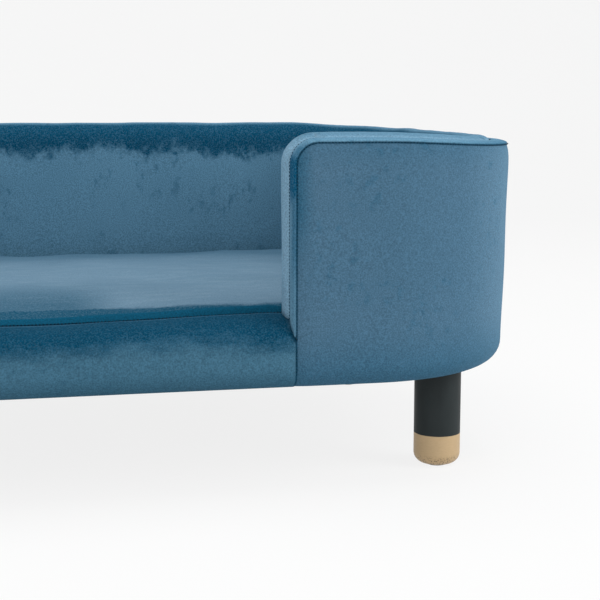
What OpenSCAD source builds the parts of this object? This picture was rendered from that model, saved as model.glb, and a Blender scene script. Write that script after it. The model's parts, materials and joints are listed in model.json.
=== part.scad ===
// Dog sofa bed: a padded wall round three sides, a low sill at the front, a lift-out
// cushion and four turned legs with metal tips.
// Millimetres. The origin is on the floor under the middle of the bed, the front faces -Y.
// Every layer of the wall is placed by how far it lies inside the outer face.

/* [Body] */
// Width over the two ends
body_w = 940; // [870:5:1040]
// Depth from the front face to the back face
body_d = 550; // [500:5:640]
// Height from the floor to the crest of the rolled edge
body_h = 330; // [312:2:390]
// Radius of the four corners seen from above
corner_r = 160; // [140:2:190]
// Height of the underside above the floor
underside_h = 100; // [82:2:116]
// Rounding of the bottom edge all round
edge_r = 22; // [18:1:25]

/* [Wall] */
// Thickness of the padded wall
wall_t = 50; // [48:1:58]
// Thickness of the velvet with its backing
velvet_t = 1.5; // [1:0.1:2]
// Thickness of the foam outside the wall board
outer_foam_t = 6; // [4:0.5:8]
// Thickness of the bent wall board
shell_t = 12; // [8:0.5:13]
// Width of the velvet turned under the base
hem_w = 58; // [55:1:66]
// Place of the side seam, as a share of the straight part of an end
side_seam_share = 0.6; // [0.2:0.05:0.9]

/* [Rolled edge] */
// Width of the narrow strip between the two seams
strip_w = 18; // [15:0.5:20]
// Rise of the strip from the face seam to the second seam
strip_rise = 3; // [1.5:0.25:4]
// Distance of the crest of the roll behind the face
crest_back = 32; // [30:0.5:35]
// Rise of the crest above the face seam
crest_rise = 8; // [6:0.5:10]
// Height over which the roll falls to the inner face, below the face seam
roll_fall = 26; // [22:0.5:27]
// Foam that laps over the edge of the wall board
foam_lap = 8; // [6:0.5:10]

/* [Entry] */
// Width of the entry between the two face seams
entry_w = 458; // [400:2:490]
// Radius of the face seam where the wing turns down at the entry
entry_r = 30; // [28:1:38]
// Height of the sill's stitched seam above the underside
sill_h = 67; // [64:1:76]
// Height over which the sill's front rounds up to its seam
sill_drop = 28; // [24:1:30]
// Distance of the sill's stitched seam behind the front face
sill_seam_back = 38; // [35:0.5:39]
// Distance from the sill's seam back to the crest of its lining
sill_roll_back = 6; // [4:0.5:6]
// Rise of the lining's crest above the sill's seam
sill_roll_rise = 5; // [3:0.5:7]
// Height over which the lining falls from its crest to the well
sill_roll_fall = 14; // [10:1:20]

/* [Frame] */
// Thickness of the base board
board_t = 15; // [12:0.5:18]
// Side of the square cleats along the foot of the wall
cleat_side = 18; // [17:0.5:20]
// Width of an entry post seen from the front
post_w = 25; // [20:1:32]
// Thickness of an entry post and of the cleat line behind the wall board
post_t = 18; // [16:0.5:20]
// Height of the sill rail above the base board
rail_h = 32; // [28:1:34]
// Diameter of a wood screw's shank
screw_d = 3.5; // [3:0.1:4]
// Length of a wood screw
screw_l = 30; // [25:1:31]
// Thickness of the deck cloth under the cushion
deck_t = 1; // [0.5:0.1:2]
// Thickness of the dust cover under the base
dust_t = 0.6; // [0.3:0.1:1]

/* [Legs] */
// Diameter of a leg
leg_d = 46; // [38:1:50]
// Distance of a leg's centre from the end of the bed
leg_inset_x = 81; // [76:1:100]
// Distance of a leg's centre from the front or back face
leg_inset_y = 88; // [84:1:110]
// Height of the metal tip
tip_h = 31; // [24:1:40]
// Wall of the metal tip
tip_t = 1.2; // [0.8:0.1:1.6]
// Rounding of the tip's lower edge
tip_r = 11; // [7:0.5:12]
// Diameter of the glide under a tip
glide_d = 20; // [14:1:20]
// Thickness of the glide that shows under the tip
glide_t = 1.5; // [1:0.25:3]
// Diameter of the hanger bolt
bolt_d = 8; // [6:0.5:10]
// Depth of the hanger bolt in the leg
bolt_in_leg = 38; // [28:1:44]

/* [Cushion] */
// Gap between the cushion and the wall all round
cushion_gap = 2; // [1:0.5:5]
// Thickness of the cushion at its rim
cushion_h = 54; // [48:1:60]
// Rise of the cushion's middle above its rim
crown_h = 11; // [4:1:18]
// How far the sides pull in between the corners
draw_in = 5; // [2:0.5:8]
// Width of the rounding along the top rim
rim_w = 24; // [16:1:30]
// Height of the rounding along the top rim
rim_h = 14; // [10:1:18]
// Length of the zip in the rear side
zip_l = 420; // [340:10:430]
// Width of the zip's tape
tape_w = 24; // [18:1:26]

/* [Hidden] */
$fn = 96;

// Colours as the pieces show them
velvet_tone = "#4a7290";
strip_tone = "#2c5f7e";
lining_tone = "#6f90aa";
board_tone = "#c9a877";
pine_tone = "#dcc193";
foam_tone = "#e8e0c0";
steel_tone = "#9aa0a4";
leg_tone = "#2b2f31";
tip_tone = "#c0a57c";
glide_tone = "#3a3a3a";
cloth_tone = "#22262a";

// Overrun of a cut, running gap of parts that move, and play of a fastener in its hole
over = 1;
move_gap = 0.3;
hole_play = 0.1;
skin_play = 0.2;

// Fasteners
screw_head_d = 7;
screw_head_h = 2.8;
nut_flange_d = 22;
nut_flange_t = 1.6;
nut_wall = 1.4;
nut_end_gap = 1.5;
glide_pin_d = 3;
glide_pin_l = 14;
leg_hole_margin = 2;

// Zip
tape_t = 0.8;
coil_w = 5;
coil_t = 1.4;
slider_l = 13;
slider_w = 9;
slider_plate_t = 1.2;

// Derived heights
half_w = body_w / 2;
half_d = body_d / 2;
entry_x = entry_w / 2;
seam_z = body_h - crest_rise;
arc_z = underside_h + edge_r;
board_z = underside_h + velvet_t;
board_top = board_z + board_t;
deck_top = board_top + deck_t;
sill_z = underside_h + sill_h;
spring_z = sill_z - sill_drop;
sill_crest_u = sill_seam_back + sill_roll_back;
sill_crest_z = sill_z + sill_roll_rise;
post_top = seam_z - entry_r;

// Derived depths inside the outer face
pad_r = edge_r - velvet_t;
shell_u = velvet_t + outer_foam_t;
frame_u = shell_u + shell_t;
pad_end_u = wall_t - velvet_t;
foam_end_u = edge_r + outer_foam_t / 2;
turn_x = half_w - corner_r;
turn_y = half_d - corner_r;
side_seam_y = turn_y * side_seam_share;

// Plan of the bed drawn u inside its outer face
module plan(u) {
    r = corner_r - u;
    square([2 * (half_w - u), 2 * turn_y], center = true);
    square([2 * turn_x, 2 * (half_d - u)], center = true);
    for (sx = [-1, 1], sy = [-1, 1]) translate([sx * turn_x, sy * turn_y]) circle(r);
}

// A wall section, drawn with x inwards and y up, carried straight along a side of the bed.
// The heading is 0 along the front, 90 along the right end and 180 along the back.
module straight_run(start, heading, length) {
    translate([start.x, start.y, 0]) rotate([0, 0, heading])
        rotate([90, 0, 90]) linear_extrude(length) children();
}

// The same section carried round the corner that follows a heading
module corner_run(heading) {
    side = heading == 0 ? [turn_x, -turn_y] : [turn_x, turn_y];
    translate([side.x, side.y, 0]) rotate([0, 0, heading - 90])
        rotate_extrude(angle = 90) translate([corner_r, 0]) mirror([1, 0]) children();
}

// Both halves of something drawn for the right-hand side
module both_sides() {
    children();
    mirror([1, 0, 0]) children();
}

// Front view of the right wing drawn h outside its face seam, with the turned top corner
module wing_outline(h) {
    r = entry_r + h;
    x = entry_x - h;
    z = seam_z + h;
    translate([x + r, 0]) square([turn_x - x - r, z]);
    translate([x, 0]) square([turn_x - x, z - r]);
    translate([x + r, z - r]) circle(r);
}

module wing_block(h) {
    translate([0, wall_t + over - half_d, 0]) rotate([90, 0, 0])
        linear_extrude(wall_t + 2 * over) wing_outline(h);
}

// The straight front of the right wing, trimmed h outside the face seam
module wing_run(h) {
    intersection() {
        straight_run([entry_x - h, -half_d], 0, turn_x - entry_x + h) children();
        wing_block(h);
    }
}

// A section carried round the whole wall, from one side of the entry to the other
module wall_run(h) {
    both_sides() {
        wing_run(h) children();
        corner_run(0) children();
        straight_run([half_w, -turn_y], 90, 2 * turn_y) children();
        corner_run(90) children();
    }
    straight_run([turn_x, half_d], 180, 2 * turn_x) children();
}

// A section drawn with x inwards and y outwards from the face seam, carried along the top
// of the wall, over the turned corner of each wing and down to the height low
module edge_run(low) {
    both_sides() {
        translate([entry_x, -half_d, low])
            linear_extrude(seam_z - entry_r - low) rotate(90) children();
        translate([entry_x + entry_r, -half_d, seam_z - entry_r])
            rotate([-90, 0, 0]) rotate([0, 0, 180])
            rotate_extrude(angle = 90) translate([entry_r, 0]) mirror([1, -1]) children();
        straight_run([entry_x + entry_r, -half_d], 0, turn_x - entry_x - entry_r)
            translate([0, seam_z]) children();
        corner_run(0) translate([0, seam_z]) children();
        straight_run([half_w, -turn_y], 90, 2 * turn_y) translate([0, seam_z]) children();
        corner_run(90) translate([0, seam_z]) children();
    }
    straight_run([turn_x, half_d], 180, 2 * turn_x) translate([0, seam_z]) children();
}

// Section of everything inside a face that lies inset inside the velvet, rounded at the foot
module footed_section(inset, top, inner) {
    face = velvet_t + inset;
    translate([face, board_z + pad_r]) square([inner - face, top - board_z - pad_r]);
    translate([face + pad_r, board_z]) square([inner - face - pad_r, top - board_z]);
    translate([face + pad_r, board_z + pad_r]) circle(pad_r);
}

// Section of the velvet: hem under the base, rounded foot and face up to a height
module cover_section(top) {
    translate([0, arc_z]) square([velvet_t, top - arc_z]);
    translate([edge_r, underside_h]) square([hem_w, velvet_t]);
    intersection() {
        translate([edge_r, arc_z]) difference() {
            circle(edge_r);
            circle(edge_r - velvet_t);
        }
        translate([0, underside_h]) square(edge_r);
    }
}

// Roll of the edge: two quarter ellipses that meet at the crest, t inside the velvet's face
crest_steps = 8;
roll_in = wall_t - crest_back;
roll_up = crest_rise + roll_fall;
roll_out = (crest_back - strip_w) / sqrt(1 - pow((strip_rise + roll_fall) / roll_up, 2));
function roll_end(t) = 180 - acos((crest_back - strip_w) / (roll_out - t));
function roll_curve(t) = concat(
    [for (i = [0 : crest_steps]) let (a = 90 * i / crest_steps)
        [crest_back + (roll_in - t) * cos(a), (roll_up - t) * sin(a) - roll_fall]],
    [for (i = [1 : crest_steps]) let (a = 90 + (roll_end(t) - 90) * i / crest_steps)
        [crest_back + (roll_out - t) * cos(a), (roll_up - t) * sin(a) - roll_fall]]);

// Height of the strip above the face seam at a depth u
function strip_h(u) = strip_rise * u / strip_w;
function reversed(list) = [for (i = [len(list) - 1 : -1 : 0]) list[i]];

module strip_section() {
    polygon([[velvet_t, strip_h(velvet_t)], [strip_w, strip_rise],
        [strip_w, strip_rise - velvet_t], [velvet_t, strip_h(velvet_t) - velvet_t]]);
}

module lining_roll_section() {
    polygon(concat(roll_curve(0), reversed(roll_curve(velvet_t))));
}

module foam_roll_section() {
    polygon(concat(roll_curve(velvet_t),
        [[velvet_t, strip_h(velvet_t) - velvet_t], [velvet_t, -foam_lap],
        [frame_u, -foam_lap], [frame_u, -roll_fall]]));
}

// Section of the sill, t inside its velvet: a broad round front up to the seam, the lining's
// small roll behind it, and its fall into the well
sill_steps = 8;
sill_roll_steps = 4;
function sill_curve(t) = concat(
    [for (i = [0 : sill_steps]) let (a = 180 - 90 * i / sill_steps)
        [sill_seam_back + (sill_seam_back - t) * cos(a), spring_z + (sill_drop - t) * sin(a)]],
    [for (i = [1 : sill_roll_steps]) let (share = i / sill_roll_steps)
        [sill_seam_back + sill_roll_back * share, sill_z - t + sill_roll_rise * sin(90 * share)]],
    [for (i = [1 : sill_roll_steps]) let (a = 90 - 90 * i / sill_roll_steps)
        [sill_crest_u + (wall_t - sill_crest_u - t) * cos(a),
        sill_crest_z - sill_roll_fall + (sill_roll_fall - t) * sin(a)]]);

module sill_section(t, low) {
    polygon(concat([[t, low]], sill_curve(t), [[wall_t - t, low]]));
}

module sill_skin_section(low) {
    difference() {
        sill_section(0, low);
        sill_section(velvet_t, low - over);
    }
}

// A section carried along the sill between the face seams, and past them by more
module sill_run(more) {
    straight_run([-entry_x - more, -half_d], 0, entry_w + 2 * more) children();
}

module sill_block(more) {
    sill_run(more) sill_section(0, underside_h);
}

// Frame timber, as plain blocks that the foam is cut round
module rail_block() {
    translate([-entry_x - foam_lap, shell_u - half_d, board_top])
        cube([entry_w + 2 * foam_lap, shell_t + post_t, rail_h]);
}

module post_block() {
    translate([entry_x + foam_lap, frame_u - half_d, board_top])
        cube([post_w, post_t, post_top - board_top]);
}

module back_cleat_block() {
    translate([-turn_x, half_d - frame_u - cleat_side, board_top])
        cube([2 * turn_x, cleat_side, cleat_side]);
}

module end_cleat_block() {
    translate([half_w - frame_u - cleat_side, -turn_y, board_top])
        cube([cleat_side, 2 * turn_y, cleat_side]);
}

module frame_blocks() {
    rail_block();
    both_sides() {
        post_block();
        end_cleat_block();
    }
    back_cleat_block();
}

// Places of the screws, as shares of the straight length that they hold
back_base_shares = [-0.8, -0.3, 0.3, 0.8];
back_shell_shares = [-0.55, 0, 0.55];
end_base_shares = [-0.6, 0.6];
rail_shares = [-0.7, 0, 0.7];
post_screw_shares = [0.3, 0.85];

module screw(play) {
    cylinder(h = screw_l + play, d = screw_d + 2 * play);
    if (play > 0) translate([0, 0, -play]) cylinder(h = play, d = screw_head_d + 2 * play);
    cylinder(h = screw_head_h, d1 = screw_head_d + 2 * play, d2 = screw_d + 2 * play);
}

module base_screw_set(play) {
    cleat_y = half_d - frame_u - cleat_side / 2;
    cleat_x = half_w - frame_u - cleat_side / 2;
    post_x = entry_x + foam_lap + post_w / 2;
    post_y = frame_u + post_t / 2 - half_d;
    for (s = back_base_shares) translate([s * turn_x, cleat_y, board_z]) screw(play);
    for (s = end_base_shares, side = [-1, 1])
        translate([side * cleat_x, s * turn_y, board_z]) screw(play);
    for (s = rail_shares) translate([s * entry_x, post_y, board_z]) screw(play);
    for (side = [-1, 1]) translate([side * post_x, post_y, board_z]) screw(play);
}

module shell_screw_set(play) {
    z = board_top + cleat_side / 2;
    post_x = entry_x + foam_lap + post_w / 2;
    for (s = back_shell_shares)
        translate([s * turn_x, half_d - shell_u, z]) rotate([90, 0, 0]) screw(play);
    both_sides() {
        translate([half_w - shell_u, 0, z]) rotate([0, -90, 0]) screw(play);
        for (s = post_screw_shares)
            translate([post_x, shell_u - half_d, board_top + s * (post_top - board_top)])
                rotate([-90, 0, 0]) screw(play);
    }
}

// Centres of the four legs
module at_leg(sx, sy) {
    translate([sx * (half_w - leg_inset_x), sy * (half_d - leg_inset_y), 0]) children();
}

module at_legs() {
    for (sx = [-1, 1], sy = [-1, 1]) at_leg(sx, sy) children();
}

module leg_bolt_holes() {
    at_legs() translate([0, 0, underside_h - over])
        cylinder(h = board_t + velvet_t + 2 * over, d = bolt_d + 2 * hole_play);
}

// Base board with its rounded lower edge, the nut seats and the screw holes
module base_board() {
    color(board_tone) difference() {
        union() {
            board_ring();
            translate([0, 0, board_z]) linear_extrude(board_t) plan(wall_t - over);
        }
        at_legs() {
            translate([0, 0, board_z - over]) cylinder(h = board_t + 2 * over, d = nut_barrel_d + 2 * hole_play);
            translate([0, 0, board_top - nut_flange_t - hole_play])
                cylinder(h = nut_flange_t + hole_play + over, d = nut_flange_d + 2 * hole_play);
        }
        base_screw_set(hole_play);
    }
}

module board_edge_section() {
    intersection() {
        footed_section(outer_foam_t, board_z + pad_r + over, wall_t);
        translate([0, board_z]) square([wall_t, board_t]);
    }
}

module board_ring() {
    straight_run([-turn_x, -half_d], 0, 2 * turn_x) board_edge_section();
    both_sides() {
        corner_run(0) board_edge_section();
        straight_run([half_w, -turn_y], 90, 2 * turn_y) board_edge_section();
        corner_run(90) board_edge_section();
    }
    straight_run([turn_x, half_d], 180, 2 * turn_x) board_edge_section();
}

module wall_shell() {
    color(board_tone) difference() {
        wall_run(-foam_lap) intersection() {
            footed_section(outer_foam_t, seam_z - foam_lap, frame_u + pad_r);
            translate([0, board_top]) square([frame_u, seam_z - foam_lap - board_top]);
        }
        shell_screw_set(hole_play);
    }
}

module entry_post() {
    difference() {
        post_block();
        base_screw_set(hole_play);
        shell_screw_set(hole_play);
    }
}
module entry_post_right() { color(pine_tone) entry_post(); }
module entry_post_left() { color(pine_tone) mirror([1, 0, 0]) entry_post(); }

module sill_rail() {
    color(pine_tone) difference() {
        rail_block();
        base_screw_set(hole_play);
    }
}

module cleat_back() {
    color(pine_tone) difference() {
        back_cleat_block();
        base_screw_set(hole_play);
        shell_screw_set(hole_play);
    }
}

module end_cleat() {
    difference() {
        end_cleat_block();
        base_screw_set(hole_play);
        shell_screw_set(hole_play);
    }
}
module cleat_right() { color(pine_tone) end_cleat(); }
module cleat_left() { color(pine_tone) mirror([1, 0, 0]) end_cleat(); }

module base_screws() { color(steel_tone) base_screw_set(0); }
module shell_screws() { color(steel_tone) shell_screw_set(0); }

// Thin foam outside the wall board, wrapped round the rounded foot
module outer_pad() {
    color(foam_tone) wall_run(-foam_lap) difference() {
        footed_section(0, seam_z - foam_lap, foam_end_u);
        footed_section(outer_foam_t, seam_z, wall_t);
    }
}

// Thick foam inside the wall board, cut round the cleats and the posts
module inner_pad() {
    color(foam_tone) difference() {
        wall_run(-roll_fall) translate([frame_u, board_top])
            square([pad_end_u - frame_u, seam_z - roll_fall - board_top]);
        frame_blocks();
    }
}

// Foam roll that hooks over the wall board and runs down both sides of the entry
module edge_roll() {
    color(foam_tone) difference() {
        edge_run(arc_z) foam_roll_section();
        sill_block(0);
        frame_blocks();
    }
}

module sill_pad() {
    color(foam_tone) difference() {
        sill_run(0) intersection() {
            footed_section(0, sill_crest_z, wall_t);
            sill_section(velvet_t, board_z);
        }
        sill_run(over) {
            board_edge_section();
            translate([foam_end_u, board_z - over]) square([wall_t - foam_end_u, board_t + over]);
        }
        rail_block();
    }
}

// Velvet of a wing: from the face seam, round the front corner, to the side seam
module cover_wing() {
    difference() {
        union() {
            wing_run(0) cover_section(seam_z);
            corner_run(0) cover_section(seam_z);
            straight_run([half_w, -turn_y], 90, turn_y + side_seam_y) cover_section(seam_z);
        }
        leg_bolt_holes();
    }
}
module cover_wing_right() { color(velvet_tone) cover_wing(); }
module cover_wing_left() { color(velvet_tone) mirror([1, 0, 0]) cover_wing(); }

module cover_back() {
    color(velvet_tone) difference() {
        union() {
            both_sides() {
                straight_run([half_w, side_seam_y], 90, turn_y - side_seam_y) cover_section(seam_z);
                corner_run(90) cover_section(seam_z);
            }
            straight_run([turn_x, half_d], 180, 2 * turn_x) cover_section(seam_z);
        }
        leg_bolt_holes();
    }
}

module cover_sill() {
    color(velvet_tone) {
        sill_run(0) cover_section(spring_z - over);
        sill_run(0) intersection() {
            sill_skin_section(arc_z);
            translate([0, spring_z - over]) square([sill_seam_back, sill_h]);
        }
    }
}

// Narrow strip between the two seams, in one length from sill to sill
module edge_strip() {
    color(strip_tone) difference() {
        edge_run(arc_z) strip_section();
        sill_block(velvet_t);
    }
}

// Lining over the roll and down the inside of the wall to the deck
module lining_wall() {
    color(lining_tone) difference() {
        union() {
            edge_run(board_top) lining_roll_section();
            wall_run(-roll_fall) translate([pad_end_u, board_top])
                square([velvet_t, seam_z - roll_fall - board_top]);
        }
        sill_block(0);
    }
}

module lining_sill() {
    color(lining_tone) sill_run(0) intersection() {
        sill_skin_section(board_top);
        translate([sill_seam_back, board_top]) square([wall_t - sill_seam_back, sill_h]);
    }
}

module deck_cloth() {
    color(cloth_tone) translate([0, 0, board_top]) linear_extrude(deck_t) plan(wall_t);
}

module dust_cover() {
    color(cloth_tone) translate([0, 0, underside_h - dust_t]) linear_extrude(dust_t) difference() {
        plan(edge_r + hem_w / 3);
        at_legs() circle(d = leg_d + 2 * leg_hole_margin);
    }
}

// Leg turned from one piece, with a spigot that fills the metal tip
nut_barrel_d = bolt_d + 2 * nut_wall;
tip_z = glide_t;
spigot_d = leg_d - 2 * tip_t - 2 * hole_play;
spigot_r = tip_r - tip_t;

module rounded_plug(d, r, h) {
    rotate_extrude() {
        square([d / 2 - r, h]);
        translate([0, r]) square([d / 2, h - r]);
        intersection() {
            translate([d / 2 - r, r]) circle(r);
            square([d / 2, h]);
        }
    }
}

module leg() {
    spigot_z = tip_z + tip_t + hole_play;
    difference() {
        union() {
            translate([0, 0, tip_z + tip_h]) cylinder(h = underside_h - tip_z - tip_h, d = leg_d);
            translate([0, 0, spigot_z]) rounded_plug(spigot_d, spigot_r, tip_z + tip_h - spigot_z);
        }
        translate([0, 0, underside_h - bolt_in_leg - hole_play])
            cylinder(h = bolt_in_leg + hole_play + over, d = bolt_d + 2 * hole_play);
        cylinder(h = glide_t + glide_pin_l + hole_play, d = glide_pin_d + 2 * hole_play);
    }
}
module leg_front_left() { color(leg_tone) at_leg(-1, -1) leg(); }
module leg_front_right() { color(leg_tone) at_leg(1, -1) leg(); }
module leg_rear_left() { color(leg_tone) at_leg(-1, 1) leg(); }
module leg_rear_right() { color(leg_tone) at_leg(1, 1) leg(); }

// Drawn metal cup, open at the top, with a hole for the glide's pin
module tip() {
    difference() {
        translate([0, 0, tip_z]) rounded_plug(leg_d, tip_r, tip_h);
        translate([0, 0, tip_z + tip_t]) rounded_plug(leg_d - 2 * tip_t, spigot_r, tip_h);
        cylinder(h = tip_z + tip_t + over, d = glide_pin_d + 2 * hole_play);
    }
}
module tip_front_left() { color(tip_tone) at_leg(-1, -1) tip(); }
module tip_front_right() { color(tip_tone) at_leg(1, -1) tip(); }
module tip_rear_left() { color(tip_tone) at_leg(-1, 1) tip(); }
module tip_rear_right() { color(tip_tone) at_leg(1, 1) tip(); }

module glide() {
    cylinder(h = glide_t, d = glide_d);
    cylinder(h = glide_t + glide_pin_l, d = glide_pin_d);
}
module glide_front_left() { color(glide_tone) at_leg(-1, -1) glide(); }
module glide_front_right() { color(glide_tone) at_leg(1, -1) glide(); }
module glide_rear_left() { color(glide_tone) at_leg(-1, 1) glide(); }
module glide_rear_right() { color(glide_tone) at_leg(1, 1) glide(); }

module hanger_bolts() {
    color(steel_tone) at_legs() translate([0, 0, underside_h - bolt_in_leg])
        cylinder(h = bolt_in_leg + velvet_t + board_t - nut_end_gap, d = bolt_d);
}

// Flanged nuts let into the top of the base board
module tee_nuts() {
    color(steel_tone) at_legs() difference() {
        union() {
            translate([0, 0, board_z + nut_end_gap])
                cylinder(h = board_t - nut_end_gap, d = nut_barrel_d);
            translate([0, 0, board_top - nut_flange_t]) cylinder(h = nut_flange_t, d = nut_flange_d);
        }
        translate([0, 0, board_z - over])
            cylinder(h = board_t + 2 * over, d = bolt_d + 2 * hole_play);
    }
}

// Cushion outline: straight sides drawn in between round corners
long_steps = 10;
short_steps = 6;
corner_steps = 5;
draw_power = 8;
cushion_x = half_w - wall_t - cushion_gap;
cushion_y = half_d - wall_t - cushion_gap;
cushion_r = corner_r - wall_t - cushion_gap;
function drawn(s) = draw_in * (1 - pow(abs(s), draw_power));
function steps(n) = [for (i = [1 : n - 1]) 2 * i / n - 1];
function corner_points(cx, cy, start, inset) = [for (i = [0 : corner_steps])
    let (a = start + 90 * i / corner_steps)
    [cx + (cushion_r - inset) * cos(a), cy + (cushion_r - inset) * sin(a)]];
function outline(inset) = concat(
    [for (s = steps(long_steps)) [s * turn_x, drawn(s) + inset - cushion_y]],
    corner_points(turn_x, -turn_y, -90, inset),
    [for (s = steps(short_steps)) [cushion_x - inset - drawn(s), s * turn_y]],
    corner_points(turn_x, turn_y, 0, inset),
    [for (s = steps(long_steps)) [-s * turn_x, cushion_y - inset - drawn(s)]],
    corner_points(-turn_x, turn_y, 90, inset),
    [for (s = steps(short_steps)) [inset + drawn(s) - cushion_x, -s * turn_y]],
    corner_points(-turn_x, -turn_y, 180, inset));
function ring_at(inset, z) = [for (p = outline(inset)) [p.x, p.y, z]];
function ring_scaled(inset, share, z) = [for (p = outline(inset)) [p.x * share, p.y * share, z]];

// Sides bulge a little at mid height; the top rim is a quarter ellipse that meets the crown
side_bulge = 3;
bulge_power = 4;
crown_power = 2.4;
side_steps = 4;
rim_steps = 4;
crown_shares = [0.95, 0.87, 0.74, 0.56, 0.34, 0.1];
cushion_z = deck_top + move_gap;
box_h = cushion_h - rim_h;
rim_inset = side_bulge + rim_w;
function side_rings(t, low) = [for (i = [0 : side_steps])
    let (s = i / side_steps)
    ring_at(side_bulge * pow(abs(2 * s - 1), bulge_power) + t,
        cushion_z + max(low, s * box_h))];
function rim_rings(t) = [for (i = [0 : rim_steps])
    let (a = 90 * i / rim_steps)
    ring_at(rim_inset - (rim_w - t) * cos(a), cushion_z + box_h + (rim_h - t) * sin(a))];
function crown_rings(t) = [for (s = crown_shares)
    ring_scaled(rim_inset, s, cushion_z + cushion_h - t + crown_h * (1 - pow(s, crown_power)))];

// A closed form through rings of points, capped flat at both ends
module lofted(rings) {
    n = len(rings[0]);
    m = len(rings);
    polyhedron(points = [for (r = rings, p = r) p],
        faces = concat(
            [[for (k = [0 : n - 1]) k]],
            [[for (k = [n - 1 : -1 : 0]) (m - 1) * n + k]],
            [for (j = [0 : m - 2], k = [0 : n - 1]) let (a = j * n, b = a + n, q = (k + 1) % n)
                [a + k, b + k, b + q]],
            [for (j = [0 : m - 2], k = [0 : n - 1]) let (a = j * n, b = a + n, q = (k + 1) % n)
                [a + k, b + q, a + q]]));
}

// A closed band: the last ring joins the first
module looped(rings) {
    n = len(rings[0]);
    m = len(rings);
    polyhedron(points = [for (r = rings, p = r) p],
        faces = concat(
            [for (j = [0 : m - 1], k = [0 : n - 1])
                let (a = j * n, b = ((j + 1) % m) * n, q = (k + 1) % n) [a + k, b + k, b + q]],
            [for (j = [0 : m - 1], k = [0 : n - 1])
                let (a = j * n, b = ((j + 1) % m) * n, q = (k + 1) % n) [a + k, b + q, a + q]]));
}

module cushion_core() {
    t = velvet_t + skin_play;
    color(foam_tone) lofted(concat(side_rings(t, t), rim_rings(t), crown_rings(t)));
}

// Crowned top panel, a skin over the core, seamed to the boxing
module cushion_top() {
    color(lining_tone) lofted(concat(
        reversed(concat(rim_rings(velvet_t), crown_rings(velvet_t))),
        rim_rings(0), crown_rings(0)));
}

module cushion_boxing() {
    color(velvet_tone) looped(concat(side_rings(0, 0), reversed(side_rings(velvet_t, 0))));
}

module cushion_base() {
    color(cloth_tone) translate([0, 0, cushion_z]) linear_extrude(velvet_t)
        polygon(outline(side_bulge + velvet_t + skin_play));
}

// Zip in the middle of the cushion's rear side, with a slider that has no tab
zip_end_share = ceil(zip_l * long_steps / turn_x / 4) * 2 / long_steps;
zip_y = cushion_y - drawn(zip_end_share);
zip_z = cushion_z + box_h / 2;
coil_y = zip_y + tape_t;

module zip_tape() {
    color(cloth_tone) translate([-zip_l / 2, zip_y, zip_z - tape_w / 2]) cube([zip_l, tape_t, tape_w]);
}

module zip_coil() {
    color(cloth_tone) translate([-zip_l / 2, coil_y, zip_z - coil_w / 2]) cube([zip_l, coil_t, coil_w]);
}

// The slider straddles the coil: a plate with a lip above and below it, rounded at both ends
module zip_slider() {
    lip_t = slider_w / 2 - coil_w / 2 - move_gap;
    x = zip_l / 2 - slider_l;
    y = coil_y + move_gap;
    plate_y = coil_y + coil_t + move_gap;
    color(steel_tone) {
        translate([x, plate_y + slider_plate_t, zip_z]) rotate([90, 0, 0]) linear_extrude(slider_plate_t) {
            translate([slider_w / 2, -slider_w / 2]) square([slider_l - slider_w, slider_w]);
            translate([slider_w / 2, 0]) circle(d = slider_w);
            translate([slider_l - slider_w / 2, 0]) circle(d = slider_w);
        }
        for (side = [-1, 1])
            translate([x + slider_w / 2, y, zip_z + side * (slider_w - lip_t) / 2 - lip_t / 2])
                cube([slider_l - slider_w, plate_y - y, lip_t]);
    }
}

base_board();
wall_shell();
entry_post_left();
entry_post_right();
sill_rail();
cleat_back();
cleat_left();
cleat_right();
base_screws();
shell_screws();
outer_pad();
inner_pad();
edge_roll();
sill_pad();
cover_wing_left();
cover_wing_right();
cover_back();
cover_sill();
edge_strip();
lining_wall();
lining_sill();
deck_cloth();
dust_cover();
leg_front_left();
leg_front_right();
leg_rear_left();
leg_rear_right();
tip_front_left();
tip_front_right();
tip_rear_left();
tip_rear_right();
glide_front_left();
glide_front_right();
glide_rear_left();
glide_rear_right();
hanger_bolts();
tee_nuts();
cushion_core();
cushion_top();
cushion_boxing();
cushion_base();
zip_tape();
zip_coil();
zip_slider();
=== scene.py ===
# %% [markdown]
# # Dog sofa bed
# A dog sofa is a wooden box with foam on it, dressed in cloth, with a cushion in the well.
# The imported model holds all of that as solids, so it is the frame here. Solids look stiff
# where the real thing is sewn and stuffed. The velvet covers, the rolled edge and the
# cushion are therefore rebuilt below as soft surfaces on the same places, while the legs,
# boards and fasteners keep their shape and only get new materials.

# %% Load the frame
import json

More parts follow.
